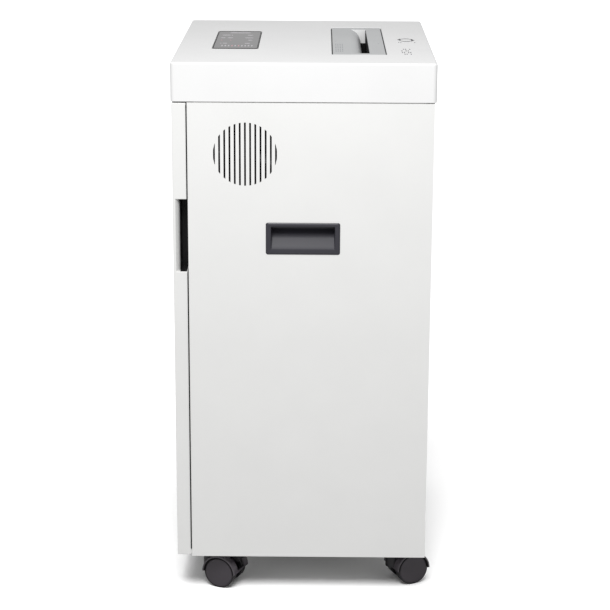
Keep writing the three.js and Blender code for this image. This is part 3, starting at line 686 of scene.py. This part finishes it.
def build_cover_marks():
    """A ring with two arrowheads and a block of dashes behind the throat, and dashes on it."""
    centre = (-4, 127.5)

    def oval(u, v):
        turn = [math.radians(6 * k) for k in range(60)]
        return lambda z: [
            (centre[0] + u * math.cos(a), centre[1] + v * math.sin(a), z) for a in turn
        ]

    printed_loop("cover_ring_mark", oval(15, 8.4), oval(10, 7.4), "ink")
    heads = [
        [(-8, 116.6), (2, 120.6), (-18, 120.6)],
        [(-4, 138.6), (-16, 134.2), (8, 134.2)],
    ]
    feet = [bar(18, y, 5, 1.4) for y in (117.6, 120.2, 137.6)]
    plates("cover_arrow_marks", heads + feet, TOP, "ink")
    dashes = [
        bar(80 + 14 * row, 118.6 + 2.5 * k, 8, 1.3)
        for row in range(4) for k in range(5) if (row + 2 * k) % 3
    ]
    plates("cover_dashes", dashes, TOP, "ink")
    rows = [
        bar(34 + 15 * k, 38.4 + 2.7 * row, 9 - 2 * ((k + row) % 2), 1.0)
        for row in range(4) for k in range(5)
    ]
    dots = [dot(6, 38.4, 0.9), dot(26, 92, 1.2)]
    plates("insert_dashes", rows + dots, INSERT_TOP, "grey_ink")


build_touch_panel()
build_cover_marks()


# ---- cabinet
def build_cabinet():
    for name in SIDES:
        refine(f"side_panel_{name}", "coat", 0.3)
    x, y, z = extent("back_panel")
    foot = block(grown(x, -0.4), y, (z[0] - 1.8, z[0] + 0.2))  # closes the joint with the floor
    refine("back_panel", "coat", 0.3, joins=[foot])
    refine("base_panel", "coat", 0.3)
    refine("head_deck", "zinc", 0.3)
    places = [(sx * 180, y[1], h) for sx in (-1, 1) for h in (70, 210, 350, 490, 612)]
    places += [(px, y[1], 60) for px in (-95, 0, 95)]
    screws("back_panel_screws", places, "+Y", "cabinet", size=0.6)


GRIP_X = 198.8  # where the grip's flange meets the side panel


def build_grip(name, side):
    """A recessed grip: rings from the bottom of the recess, round its frame and back behind it."""
    y, z = extent(f"carry_grip_{name}")[1:]
    mouth_y, mouth_z = (-38.2, 38.2), (447.0, 474.2)

    def at(x, ys, zs, radius):
        return ring(ys, zs, radius, x, "X", 6)

    def frame_ring(x, inset):
        return at(x, grown(y, -inset), grown(z, -inset), max(2.6 - inset * 0.3, 0.8))

    rings = [
        at(181.2, (-37.4, 37.4), (468.3, 475.2), 1.0),
        at(182.0, (-37.8, 37.8), (467.0, 475.8), 1.2),
        at(197.0, (-38.2, 38.2), (449.4, 475.4), 1.2),
        at(197.6, (-38.2, 38.2), (448.7, 474.2), 1.2),
        at(199.1, mouth_y, mouth_z, 1.2),
        at(199.5, grown(mouth_y, 0.35), grown(mouth_z, 0.35), 1.4),
        at(199.72, grown(mouth_y, 1.2), grown(mouth_z, 1.2), 1.6),
        frame_ring(200.0, 3.0),
        frame_ring(199.88, 2.2),
        frame_ring(199.62, 1.3),
        frame_ring(199.3, 0.5),
        frame_ring(GRIP_X, 0.0),
        at(GRIP_X, (-41, 41), (444.5, 478.2), 1.5),
        at(196.5, (-41, 41), (444.5, 478.2), 1.5),
        at(178.5, (-39.6, 39.6), (464.0, 478.0), 1.5),
    ]
    make(f"carry_grip_moulding_{name}", loft(rings).sided(side), "grip", "cabinet",
         [f"carry_grip_{name}"], crease=30)


build_cabinet()
for grip_name, grip_side in SIDES.items():
    build_grip(grip_name, grip_side)


ROCKER_TILT = 10  # the rocker's lean at rest, in degrees


def build_inlet():
    refine("power_inlet", "black", 0.4)
    pivot = [v / MM for v in JOINTS["power_switch"]["pos_m"]]
    face = [(-4, -8), (-4, 8), (3.4, 8), (3.8, 7.4)]
    face += [(2.2 + 1.6 * (k / 8) ** 2, k * 0.92) for k in range(7, -8, -1)]
    face += [(3.8, -7.4), (3.4, -8)]
    rocker = prism(face, (pivot[0] - 6, pivot[0] + 6), "X").moved(y=pivot[1], z=pivot[2])
    rocker = rocker.turned(ROCKER_TILT, "X", pivot)
    make("switch_rocker_key", rocker, "black", "rocker", ["switch_rocker"], bevel=0.4)


build_inlet()


# ---- gears and cutters
PRESSURE = math.radians(20)  # pressure angle of the teeth
SYNC_TEETH, DRIVE_TEETH, MOTOR_TEETH = 17, 44, 10
IDLER_SMALL, IDLER_LARGE = 12, 48
COARSE, FINE = 2, 1.5  # tooth modules: on the cutters, and between the idler and the motor
BORE = 7.0  # radius of the gears' bores


def involute(radius, base):
    angle = math.acos(min(1.0, base / radius))
    return math.tan(angle) - angle


def gear_outline(teeth, module, phase, centre):
    """A spur gear's outline with involute flanks and backlash. One tooth points at phase."""
    pitch = teeth * module / 2
    base = pitch * math.cos(PRESSURE)
    radii = [pitch - 1.15 * module, *[pitch + module * k for k in (-0.6, -0.3, 0, 0.3, 0.6, 0.85)]]
    thick = 0.86 * math.pi / (2 * teeth)
    flank = [(r, thick + involute(pitch, base) - involute(max(r, base), base)) for r in radii]
    points = []
    for tooth in range(teeth):
        middle = phase + 2 * math.pi * tooth / teeth
        sides = [(r, middle - half) for r, half in flank]
        sides += [(r, middle + half) for r, half in flank[::-1]]
        points += [polar(centre, r, angle) for r, angle in sides]
    return points


def meshed(first, second, ratio, phase, teeth):
    """The phase that puts a gap of the second gear on a tooth of the first."""
    toward = math.atan2(second[1] - first[1], second[0] - first[0])
    return toward + math.pi + (toward - phase) * ratio - math.pi / teeth


def axis_of(joint):
    return tuple(v / MM for v in JOINTS[joint]["pos_m"][1:])


def gear(teeth, module, phase, centre, span, bore=BORE, web=None):
    """A gear's solid, and the cuts for its bore and for the recess in both its faces."""
    cuts = [rod(bore, grown(span, 2), "X", centre)] if bore else []
    if web:
        inner, outer, depth = web
        for a, b in ((span[0] - 1, span[0] + depth), (span[1] - depth, span[1] + 1)):
            section = [(inner, a), (outer, a), (outer, b), (inner, b)]
            cuts.append(lathe(section, "X", centre, 48))
    return prism(gear_outline(teeth, module, phase, centre), span, "X"), cuts


def build_gears():
    front, rear = axis_of("cutter_front_spin"), axis_of("cutter_rear_spin")
    idler, motor = axis_of("idler_spin"), axis_of("motor_spin")
    rear_phase = meshed(front, rear, 1, 0, SYNC_TEETH)
    for name, centre, phase in (("front", front, 0), ("rear", rear, rear_phase)):
        body, cuts = gear(SYNC_TEETH, COARSE, phase, centre, (127, 137), web=(10.5, 12.8, 1.2))
        make(f"sync_gear_{name}_wheel", body, "steel", f"cutter_{name}", [f"sync_gear_{name}"],
             cuts=cuts, bevel=0.25)

    body, cuts = gear(DRIVE_TEETH, COARSE, 0, front, (-135.5, -127.5), web=(14, 37, 2.4))
    holes = [rod(6, (-140, -120), "X", polar(front, 26, math.pi / 3 * k)) for k in range(6)]
    make("drive_gear_wheel", body, "steel", "cutter_front", ["drive_gear"],
         cuts=cuts + [every(holes)], bevel=0.25)

    phase = meshed(front, idler, DRIVE_TEETH / IDLER_SMALL, 0, IDLER_SMALL)
    small, _ = gear(IDLER_SMALL, COARSE, phase, idler, (-136.5, -127.5))
    large, cuts = gear(IDLER_LARGE, FINE, 0, idler, (-146, -138.5), 0, (12, 30, 2.2))
    spindle = rod(5, (-149, -114), "X", idler, chamfer=0.6)
    make("idler_gear_pair", large, "steel", "idler", ["idler_gear"],
         joins=[small, spindle], cuts=cuts, bevel=0.2)

    phase = meshed(idler, motor, IDLER_LARGE / MOTOR_TEETH, 0, MOTOR_TEETH)
    pinion, _ = gear(MOTOR_TEETH, FINE, phase, motor, (-147, -138))
    shaft = rod(4, (-148, 6), "X", motor, chamfer=0.5)
    make("motor_shaft", shaft, "steel", "rotor", ["motor_rotor"], joins=[pinion], bevel=0.15)


DISC, CORE = 19.5, 13.5  # radii of the cutter discs and of the shaft between them
PITCH, THICK = 12.0, 5.4  # spacing and thickness of the discs
HOOK = ((DISC - 2.2, 95), (DISC - 3.6, 103), (DISC - 3.4, 110), (DISC - 0.9, 112))


def hooked_disc(centre, x, turn):
    """A cutter disc with three hooks on its rim."""
    outline = []
    for hook in range(3):
        start = turn + 120 * hook
        outline += arc(centre, DISC, start, start + 88, 12)
        outline += [polar(centre, radius, math.radians(start + a)) for radius, a in HOOK]
    return prism(outline, (x - THICK / 2, x + THICK / 2), "X")


def build_cutters():
    sets = (("front", 19, 14, -136.3, 139), ("rear", 20, -14, -126.8, 139))
    for name, count, twist, left, right in sets:
        centre = axis_of(f"cutter_{name}_spin")
        shaft = [(0, left), (6.4, left), (7, left + 0.6), (7, -118), (CORE, -118), (CORE, 118)]
        shaft += [(7, 118), (7, right - 0.6), (6.4, right), (0, right)]
        first = -(count - 1) * PITCH / 2
        discs = [hooked_disc(centre, first + PITCH * k, twist * k) for k in range(count)]
        make(f"cutter_shaft_{name}_set", lathe(shaft, "X", centre), "steel", f"cutter_{name}",
             [f"cutter_shaft_{name}"], joins=[every(discs)], bevel=0.2, segments=1)
        refine(f"stripper_comb_{name}", "black", 0.3, 1)


def build_frames():
    for name, side in SIDES.items():
        refine(f"cutter_frame_{name}", "zinc", 0.3)
        x = side * 125
        bolts = [(x, y, z) for y in (34, 114) for z in (530, 608)]
        screws(f"cutter_frame_{name}_bolts", bolts, "+X" if side > 0 else "-X", "cabinet")


build_gears()
build_cutters()
build_frames()


# ---- motor, fan and board
def build_motor():
    centre = axis_of("motor_spin")
    radius = 34.0
    profile = [(4.6, -124.7), (9.2, -124.7), (9.5, -124.4), (9.5, -118)]
    profile += [(26, -118), (30, -116), (33, -112)]
    for k in range(12):  # the laminations between the two end bells
        x = -100 + 5.5 * k
        profile += [(radius - 1.2, x), (radius, x + 0.7)]
        profile += [(radius, x + 4.4), (radius - 1.2, x + 5.1)]
    profile += [(33, -30), (33, -14), (30, -6), (22, -2.4), (8, -2), (4.6, -2)]
    cradle = block((-108, -22), (centre[0] - 24, centre[0] + 24), (514, 538))
    angles = [math.pi / 4 * (k + 0.5) for k in range(8)]
    vents = [rod(4.4, (-30, 5), "X", polar(centre, 21, a), 20) for a in angles]
    make("motor_can", lathe(profile, "X", centre, 64), "dark_steel", "cabinet", ["motor_body"],
         joins=[cradle], cuts=[every(vents)], bevel=0.4)


FAN_X = (174.0, 190.0)
HUB_RADIUS, TIP_RADIUS, BLADES = 12.5, 35.2, 7


def fan_blade(step):
    """A blade's section on one of nine steps from the hub to the tip: bowed, thin and twisted."""
    near, far = FAN_X
    radius = HUB_RADIUS + (TIP_RADIUS - HUB_RADIUS) * step / 8
    twist = math.radians(52 - 2.2 * step)
    chord = 8.4 + 0.5 * step
    row = []
    for along, thick in ((-1, 0.25), (-0.5, 0.7), (0, 0.85), (0.5, 0.7), (1, 0.25)):
        bow = 1.6 * (1 - along * along)
        row.append((along * chord, thick + bow))
    row += [(a, t - 2 * (0.85 - 0.15 * abs(a) / chord)) for a, t in row[::-1]]
    points = []
    for a, t in row:
        x = (near + far) / 2 + a * math.cos(twist) * 0.86 + t * math.sin(twist)
        across = a * math.sin(twist) - t * math.cos(twist)
        points.append((min(max(x, near + 0.2), far - 0.2), across, radius))
    return points


def build_fan():
    refine("fan_frame", "black", 0.5)
    centre = axis_of("fan_spin")
    near, far = FAN_X
    nose = [(14, near + 1), (14, far - 1.4), (12.6, far), (0, far)]
    hub = lathe([(0, near), (13, near), *nose], "X", centre)
    blade = loft([fan_blade(step) for step in range(9)])
    blades = [blade.turned(360 / BLADES * k, "X").moved(y=centre[0], z=centre[1])
              for k in range(BLADES)]
    make("fan_impeller", hub + every(blades), "black", "fan", ["fan_rotor"], crease=50)
    places = [(193, centre[0] + sy * 36, centre[1] + sz * 36) for sy in (-1, 1) for sz in (-1, 1)]
    screws("fan_screws", places, "+X", "cabinet", size=0.6)


# x, y, half length, half width and height of each chip
CHIPS = [(-55, -88, 7, 7, 1.6), (-40, -72, 3, 4, 1.2), (40, -72, 6, 3, 2.2), (66, -72, 4, 4, 3.4)]


def build_board():
    refine("control_board", "board", 0.15, 1)
    top = extent("control_board")[2][0] + 1.6
    chips = [block((x - a, x + a), (y - b, y + b), (top, top + h)) for x, y, a, b, h in CHIPS]
    make("board_chips", every(chips), "chip", "cabinet", bevel=0.2)


build_motor()
build_fan()
build_board()
refine("magnet_catch", "black", 0.4)


# ---- drawer
def build_bin():
    x, y, z = extent("waste_bin")
    rim, wall, taper = 5.0, 2.5, 0.96
    body_x, body_y = grown(x, -rim), grown(y, -rim)
    middle = (y[0] + y[1]) / 2

    def level(inset, height, radius):
        """The bin's section at a height, narrowing towards the foot."""
        share = taper + (1 - taper) * (height - z[0]) / (z[1] - z[0])
        half_y = (body_y[1] - body_y[0]) / 2 * share - inset
        across = grown((0, 0), body_x[1] * share - inset)
        return ring(across, (middle - half_y, middle + half_y), radius, height, "Z", 8)

    top = z[1]
    rings = [level(wall + 1.5, z[0] + wall, 9), level(wall, z[0] + wall + 2, 10)]
    rings += [level(wall, top - 1, 12), level(wall - 0.6, top, 12)]
    rings += [level(-rim + 0.8, top, 17), level(-rim, top - 0.8, 17.5)]
    rings += [level(-rim, top - 4, 17.5), level(-0.2, top - 4.2, 14), level(0, top - 12, 13)]
    for k in range(6):  # raised bands round the body
        height = top - 60 - 58 * k
        rings += [level(0, height, 13), level(0.9, height - 1.4, 12.4)]
        rings += [level(0.9, height - 9, 12.4), level(0, height - 10.4, 13)]
    rings += [level(0, z[0] + 3, 12), level(1.0, z[0] + 0.8, 11), level(3, z[0], 9)]
    hole = prism(rounded((middle - 45, middle + 45), (452, 476), 10, 8), (150, 180), "X")
    make("waste_bin_shell", loft(rings), "bin", "drawer", ["waste_bin"],
         cuts=[hole.sided(side) for side in SIDES.values()], crease=30)


def build_slides():
    for name in SIDES:
        for member in ("outer", "middle", "inner"):
            refine(f"slide_{member}_{name}", "zinc", 0.25, 1)


NOTCH_X, NOTCH_Y, NOTCH_Z = (161.0, 198.5), (-147.0, -139.2), (417.9, 506.6)  # the finger pull
LINING = 0.4  # thickness of its black lining, painted shade inside the finger pull
SEAM_Y = (-138.45, -137.2)  # the joint between the drawer front and the cabinet
SEAM_Z = (60, 620)


def build_drawer():
    refine("front_panel", "coat", 0.9, 3)
    (x0, x1), (y0, y1), (z0, z1) = NOTCH_X, NOTCH_Y, NOTCH_Z
    walls = [
        block((x0, x0 + LINING), (y0, y1), (z0, z1)),
        block((x0, x1 - 4), (y0, y0 + LINING), (z0, z1)),
        block((x0, x1 - 1.2), (y0, y1), (z1 - LINING, z1)),
        block((x0, x1 - 1.2), (y0, y1), (z0, z0 + LINING)),
    ]
    strips = ((SEAM_Z[0], z0 - 0.6), (z1 + 0.6, SEAM_Z[1]))
    # painted shade: black strips in the joint between the drawer front and the cabinet, where the
    # gap lies in shade
    seam_shade = every([block((189, 199.2), SEAM_Y, strip) for strip in strips])
    pad = prism(rounded((188, 197.8), (52.6, 58.8), 1.2), (-138.25, -137.15), "Y")
    for name, side in SIDES.items():
        # painted shade: black sheets lining the finger pull, where the pocket lies in shade
        first, *others = [wall.sided(side) for wall in walls]
        make(f"finger_pull_shade_lining_{name}", first, "black", "drawer", ["front_panel"], joins=others)
        make(f"drawer_seam_shade_{name}", seam_shade.sided(side), "matt", "drawer", ["front_liner"], bevel=0.2)
        make(f"drawer_bumper_{name}", pad.sided(side), "coat", "drawer", ["front_panel"], bevel=0.2)
    refine("front_liner", "coat", 0.3)
    refine("drawer_tray", "zinc", 0.3)


build_bin()
build_slides()
build_drawer()


# ---- casters
TRAIL, AXLE_Z = 20.0, 20.0  # the axle's place behind the swivel axis and above the floor
HUB = (TRAIL, AXLE_Z)
HOOD, HOOD_WALL = 22.4, 1.7  # the hood's outer radius about the axle, and its thickness
HOOD_INNER = HOOD - HOOD_WALL


def caster_tyre():
    """The tyre of the wheel on the caster's +X side, about the axle."""
    profile = [(3.3, 14.5), (3.3, 7.5), (6.2, 7.5), (6.6, 7.9), (6.6, 9.6)]
    profile += [(15.6, 9.6), (16, 9.2), (16, 7.9), (16.4, 7.5), (18.8, 7.5)]
    inner_edge = (0.5, 1.0, 1.5708)
    profile += [(18.8 + 1.2 * math.sin(a), 8.7 - 1.2 * math.cos(a)) for a in inner_edge]
    for groove in (11.6, 15.0):
        profile += [(20, groove - 0.45), (19.65, groove), (20, groove + 0.45)]
    outer_edge = (0, 0.5, 1.0, 1.5)
    profile += [(19.3 + 0.7 * math.cos(a), 18.6 + 0.7 * math.sin(a)) for a in outer_edge]
    profile += [(18.65, 19.2), (18.65, 14.5)]
    return lathe(profile, "X", HUB, 72)


def caster_cap():
    """The cap that closes that wheel's outer face."""
    profile = [(0, 16.5), (3.3, 16.5), (3.3, 14.7), (18.5, 14.7), (18.5, 18.6)]
    profile += [(17.5 + math.cos(a), 18.7 + math.sin(a)) for a in (0.2, 0.6, 1.0, 1.4)]
    return lathe(profile + [(15.5, 19.78), (8, 19.92), (0, 20)], "X", HUB, 72)


def caster_hood(braked):
    """The hood over both wheels, the web and neck of the fork, and what is cut from them."""
    band = arc(HUB, HOOD, 0, 180, 48) + arc(HUB, HOOD_INNER, 180, 0, 48)
    fender = prism(band, (-21, 21), "X")
    under = arc(HUB, HOOD_INNER - 0.1, 14, 174, 32)
    feet = [(TRAIL - 16, AXLE_Z - 4), (TRAIL - 7, AXLE_Z - 7)]
    web = prism([(TRAIL + 7, AXLE_Z - 7), *under, *feet], (-6.8, 6.8), "X")
    stem = [(0, 22), (9.2, 22), (9.2, 41), (8.6, 45.4), (8.0, 46), (0, 46)]
    neck = lathe(stem, "Z", steps=40)
    beside = ((6.85, 30), (-30, -6.85))
    wells = [rod(HOOD_INNER + 0.05, span, "X", HUB, 96) for span in beside]
    cuts = wells + [rod(4.4, (25, 60), "Z"), rod(3.3, (-10, 10), "X", HUB, 24)]
    slots = []
    if braked:
        slots.append(block((-4.6, 4.6), (15.5, 50), (34.5, 50)))
        slots.append(block((-9.8, 9.8), (30, 50), (22, 50)))
    return fender, web, neck, cuts, slots


def hood_shadow_ring(side):
    """Painted shadow: a black ring at the hood's inner edge, just outside the rim of the wheel,
    where the gap between them lies in shade.
    """
    band = arc(HUB, HOOD_INNER + 0.3, 0, 180, 48) + arc(HUB, 18.7, 180, 0, 48)
    return prism(band, (19.9, 20.5), "X").sided(side)


PEDAL_Y, PEDAL_Z = 20.0, 40.3  # the pedal's pivot, and its two outlines about it
STEM = [(-2.4, 0), (-1.7, -1.7), (0, -2.4), (13, -1), (14, 2.4), (0, 2.4), (-1.7, 1.7)]
TAB = [(12.9, -1), (21.5, -6), (23.1, -5.3), (23.7, -3.8)]
TAB += [(23.5, -1.8), (22.6, -0.2), (21, 0.9), (13.9, 2.4)]


def brake_pedal():
    """The pedal's stem, and the wider tab that the foot presses."""
    parts = []
    for outline, half in ((STEM, 4.2), (TAB, 9)):
        in_place = [(PEDAL_Y + y, PEDAL_Z + z) for y, z in outline]
        parts.append(prism(in_place, (-half, half), "X"))
    return parts


PLATE_Z = (47.2, 50)


def caster_plate():
    """The mounting plate, and under it the race that the caster swivels on and its stem."""
    plate = prism(rounded((-21, 21), (-21, 21), 4), PLATE_Z)
    race = lathe([(0, 46.6), (12.5, 46.6), (14.5, 47.3), (0, 48)], "Z")
    return plate, [race, rod(4, (27, 48), "Z", steps=32, chamfer=0.4)]


WHEEL_PARTS = (("tyre", caster_tyre(), "caster"), ("cap", caster_cap(), "wheel"))


def build_caster(corner):
    """All the pieces of a caster at its angle in the CAD model. Returns its screws' places."""
    swivel = JOINTS[f"caster_{corner}_swivel"]["pos_m"]
    along = JOINTS[f"wheel_{corner}_right_spin"]["axis"]
    stand = Matrix.Translation((swivel[0] / MM, swivel[1] / MM, 0))
    place = stand @ Matrix.Rotation(math.atan2(along[1], along[0]), 4, "Z")
    body, hood_node = f"caster_{corner}", [f"caster_hood_{corner}"]
    braked = f"brake_{corner}" in frame["bodies"]

    def placed(solids):
        return [solid.placed(place) for solid in solids]

    fender, web, neck, cuts, slots = caster_hood(braked)
    slots = placed(slots)
    make(f"caster_fender_{corner}", fender.placed(place), "hood", body, hood_node, cuts=slots,
         bevel=0.45, segments=3, limit=40)
    # painted shadow: black rings standing in for the shaded gap between the hood and each wheel
    shadow_rings = every([hood_shadow_ring(side) for side in SIDES.values()]).placed(place)
    make(f"caster_hood_shadow_rings_{corner}", shadow_rings, "shadow", body, hood_node, bevel=0.15)
    # painted shade: the fork's web and neck, one moulding with the hood, take the near-black caster
    # look for the shade under the cabinet
    make(f"caster_fork_shaded_{corner}", web.placed(place), "caster", body, hood_node,
         joins=placed([neck]), cuts=placed(cuts) + slots, bevel=0.5, segments=2, limit=40)
    axle = rod(3, (-15.5, 15.5), "X", HUB, 24, 0.4).placed(place)
    make(f"caster_pin_{corner}", axle, "zinc", body, [f"caster_axle_{corner}"])
    for name, side in SIDES.items():
        wheel_body, node = f"wheel_{corner}_{name}", [f"caster_wheel_{corner}_{name}"]
        for part, solid, look in WHEEL_PARTS:
            make(f"caster_{part}_{corner}_{name}", solid.sided(side).placed(place), look,
                 wheel_body, node, crease=40)
    plate, under = caster_plate()
    make(f"caster_mount_{corner}", plate.placed(stand), "zinc", "cabinet",
         [f"caster_plate_{corner}"], joins=[s.placed(stand) for s in under], bevel=0.3)
    if braked:
        stem, tab = brake_pedal()
        make(f"brake_lever_{corner}", stem.placed(place), "caster", f"brake_{corner}",
             [f"brake_pedal_{corner}"], joins=placed([tab]), bevel=0.5)
    spots = [(sx * 16.5, sy * 16.5, PLATE_Z[0]) for sx in (-1, 1) for sy in (-1, 1)]
    return [stand @ Vector(spot) for spot in spots]


plate_screws = [place for corner in CORNERS for place in build_caster(corner)]
screws("caster_screws", plate_screws, "-Z", "cabinet", size=0.4)


# ---- studio
LENS, SENSOR = 110.6, 36  # in millimetres
EYE = (2.3737, 0.0186, 0.987)  # where the camera stands, in metres
CAMERA_RIGHT = (-0.00856, 0.99995, 0.00471)  # and its three axes
CAMERA_UP = (-0.26978, -0.00685, 0.96290)
CAMERA_BACK = (0.96288, 0.00697, 0.26983)
FLOOR_SEEN, FLOOR_BOUNCE = 0.95, 0.32  # how white it is to the camera, and to other rays
FLOOR_HALF = 30000
WORLD_LIGHT, WORLD_SEEN = 0.545, 1.1  # the world's strength, and what the camera sees
KEY_PLACE, KEY_AIM, KEY_SIZE, KEY_POWER = (1.17, -0.1, 1.53), (0.2, 0, 0.5), 0.6, 15.4
SUN_POWER, SUN_WIDTH, SUN_HEIGHT = 2.6, 36, 62  # the last two in degrees


def build_camera():
    data = bpy.data.cameras.new("camera")
    data.lens = LENS
    data.sensor_width = SENSOR
    data.clip_start = 0.05
    camera = object_of(data, "camera")
    turn = Matrix((CAMERA_RIGHT, CAMERA_UP, CAMERA_BACK)).transposed().to_4x4()
    camera.matrix_world = Matrix.Translation(EYE) @ turn
    bpy.context.scene.camera = camera


def build_key():
    """A soft square light, above the object's right side."""
    data = bpy.data.lights.new("key", "AREA")
    data.shape = "RECTANGLE"
    data.size = data.size_y = KEY_SIZE
    data.energy = KEY_POWER
    light = object_of(data, "key")
    aim = (Vector(KEY_AIM) - Vector(KEY_PLACE)).to_track_quat("-Z", "Y")
    light.matrix_world = Matrix.Translation(KEY_PLACE) @ aim.to_matrix().to_4x4()


def floor_paper():
    """White paper that the camera sees overexposed, and that throws light back as grey paper."""
    material, tree, shader, coords = new_material("floor_paper")
    seen = ramp(tree, noise(tree, coords, Scale=3.0), FLOOR_SEEN, FLOOR_SEEN + 0.02)
    path = tree.nodes.new("ShaderNodeLightPath")
    tone = tree.nodes.new("ShaderNodeMix")
    tree.links.new(path.outputs["Is Camera Ray"], tone.inputs["Factor"])
    tone.inputs["A"].default_value = FLOOR_BOUNCE
    tree.links.new(seen, tone.inputs["B"])
    paper = tree.nodes.new("ShaderNodeBsdfDiffuse")
    tree.links.new(tone.outputs["Result"], paper.inputs["Color"])
    tree.links.new(paper.outputs["BSDF"], tree.nodes["Material Output"].inputs["Surface"])
    tree.nodes.remove(shader)
    return material


def build_world():
    """Even white light from all round, brighter where the camera sees it."""
    world = bpy.data.worlds.new("studio")
    bpy.context.scene.world = world
    world.use_nodes = True
    nodes, links = world.node_tree.nodes, world.node_tree.links
    background = nodes["Background"]
    background.inputs["Color"].default_value = (1, 1, 1, 1)
    path, strength = nodes.new("ShaderNodeLightPath"), nodes.new("ShaderNodeMapRange")
    strength.inputs["To Min"].default_value = WORLD_LIGHT
    strength.inputs["To Max"].default_value = WORLD_SEEN
    links.new(path.outputs["Is Camera Ray"], strength.inputs["Value"])
    links.new(strength.outputs["Result"], background.inputs["Strength"])


def build_floor():
    """The floor, and a sun that lights nothing else."""
    a = FLOOR_HALF
    floor = Solid([(-a, -a, 0), (a, -a, 0), (a, a, 0), (-a, a, 0)], [(0, 1, 2, 3)])
    made = object_of(mesh_of(floor), "studio_floor")
    made.data.materials.append(floor_paper())
    data = bpy.data.lights.new("floor_sun", "SUN")
    data.energy, data.angle = SUN_POWER, math.radians(SUN_WIDTH)
    sun = object_of(data, "floor_sun")
    height = math.radians(SUN_HEIGHT)
    toward = Vector((math.cos(height), 0, math.sin(height)))
    sun.matrix_world = toward.to_track_quat("Z", "Y").to_matrix().to_4x4()
    receivers = bpy.data.collections.new("floor_light_receivers")
    receivers.objects.link(made)
    sun.light_linking.receiver_collection = receivers


build_camera()
build_world()
build_key()
build_floor()
bpy.context.scene.view_settings.view_transform = "Standard"

# The pieces above stand in for every CAD node. One that an edit brings back is zinc.
for node, made in frame["nodes"].items():
    made.data.materials.clear()
    made.data.materials.append(LOOKS["zinc"][0])
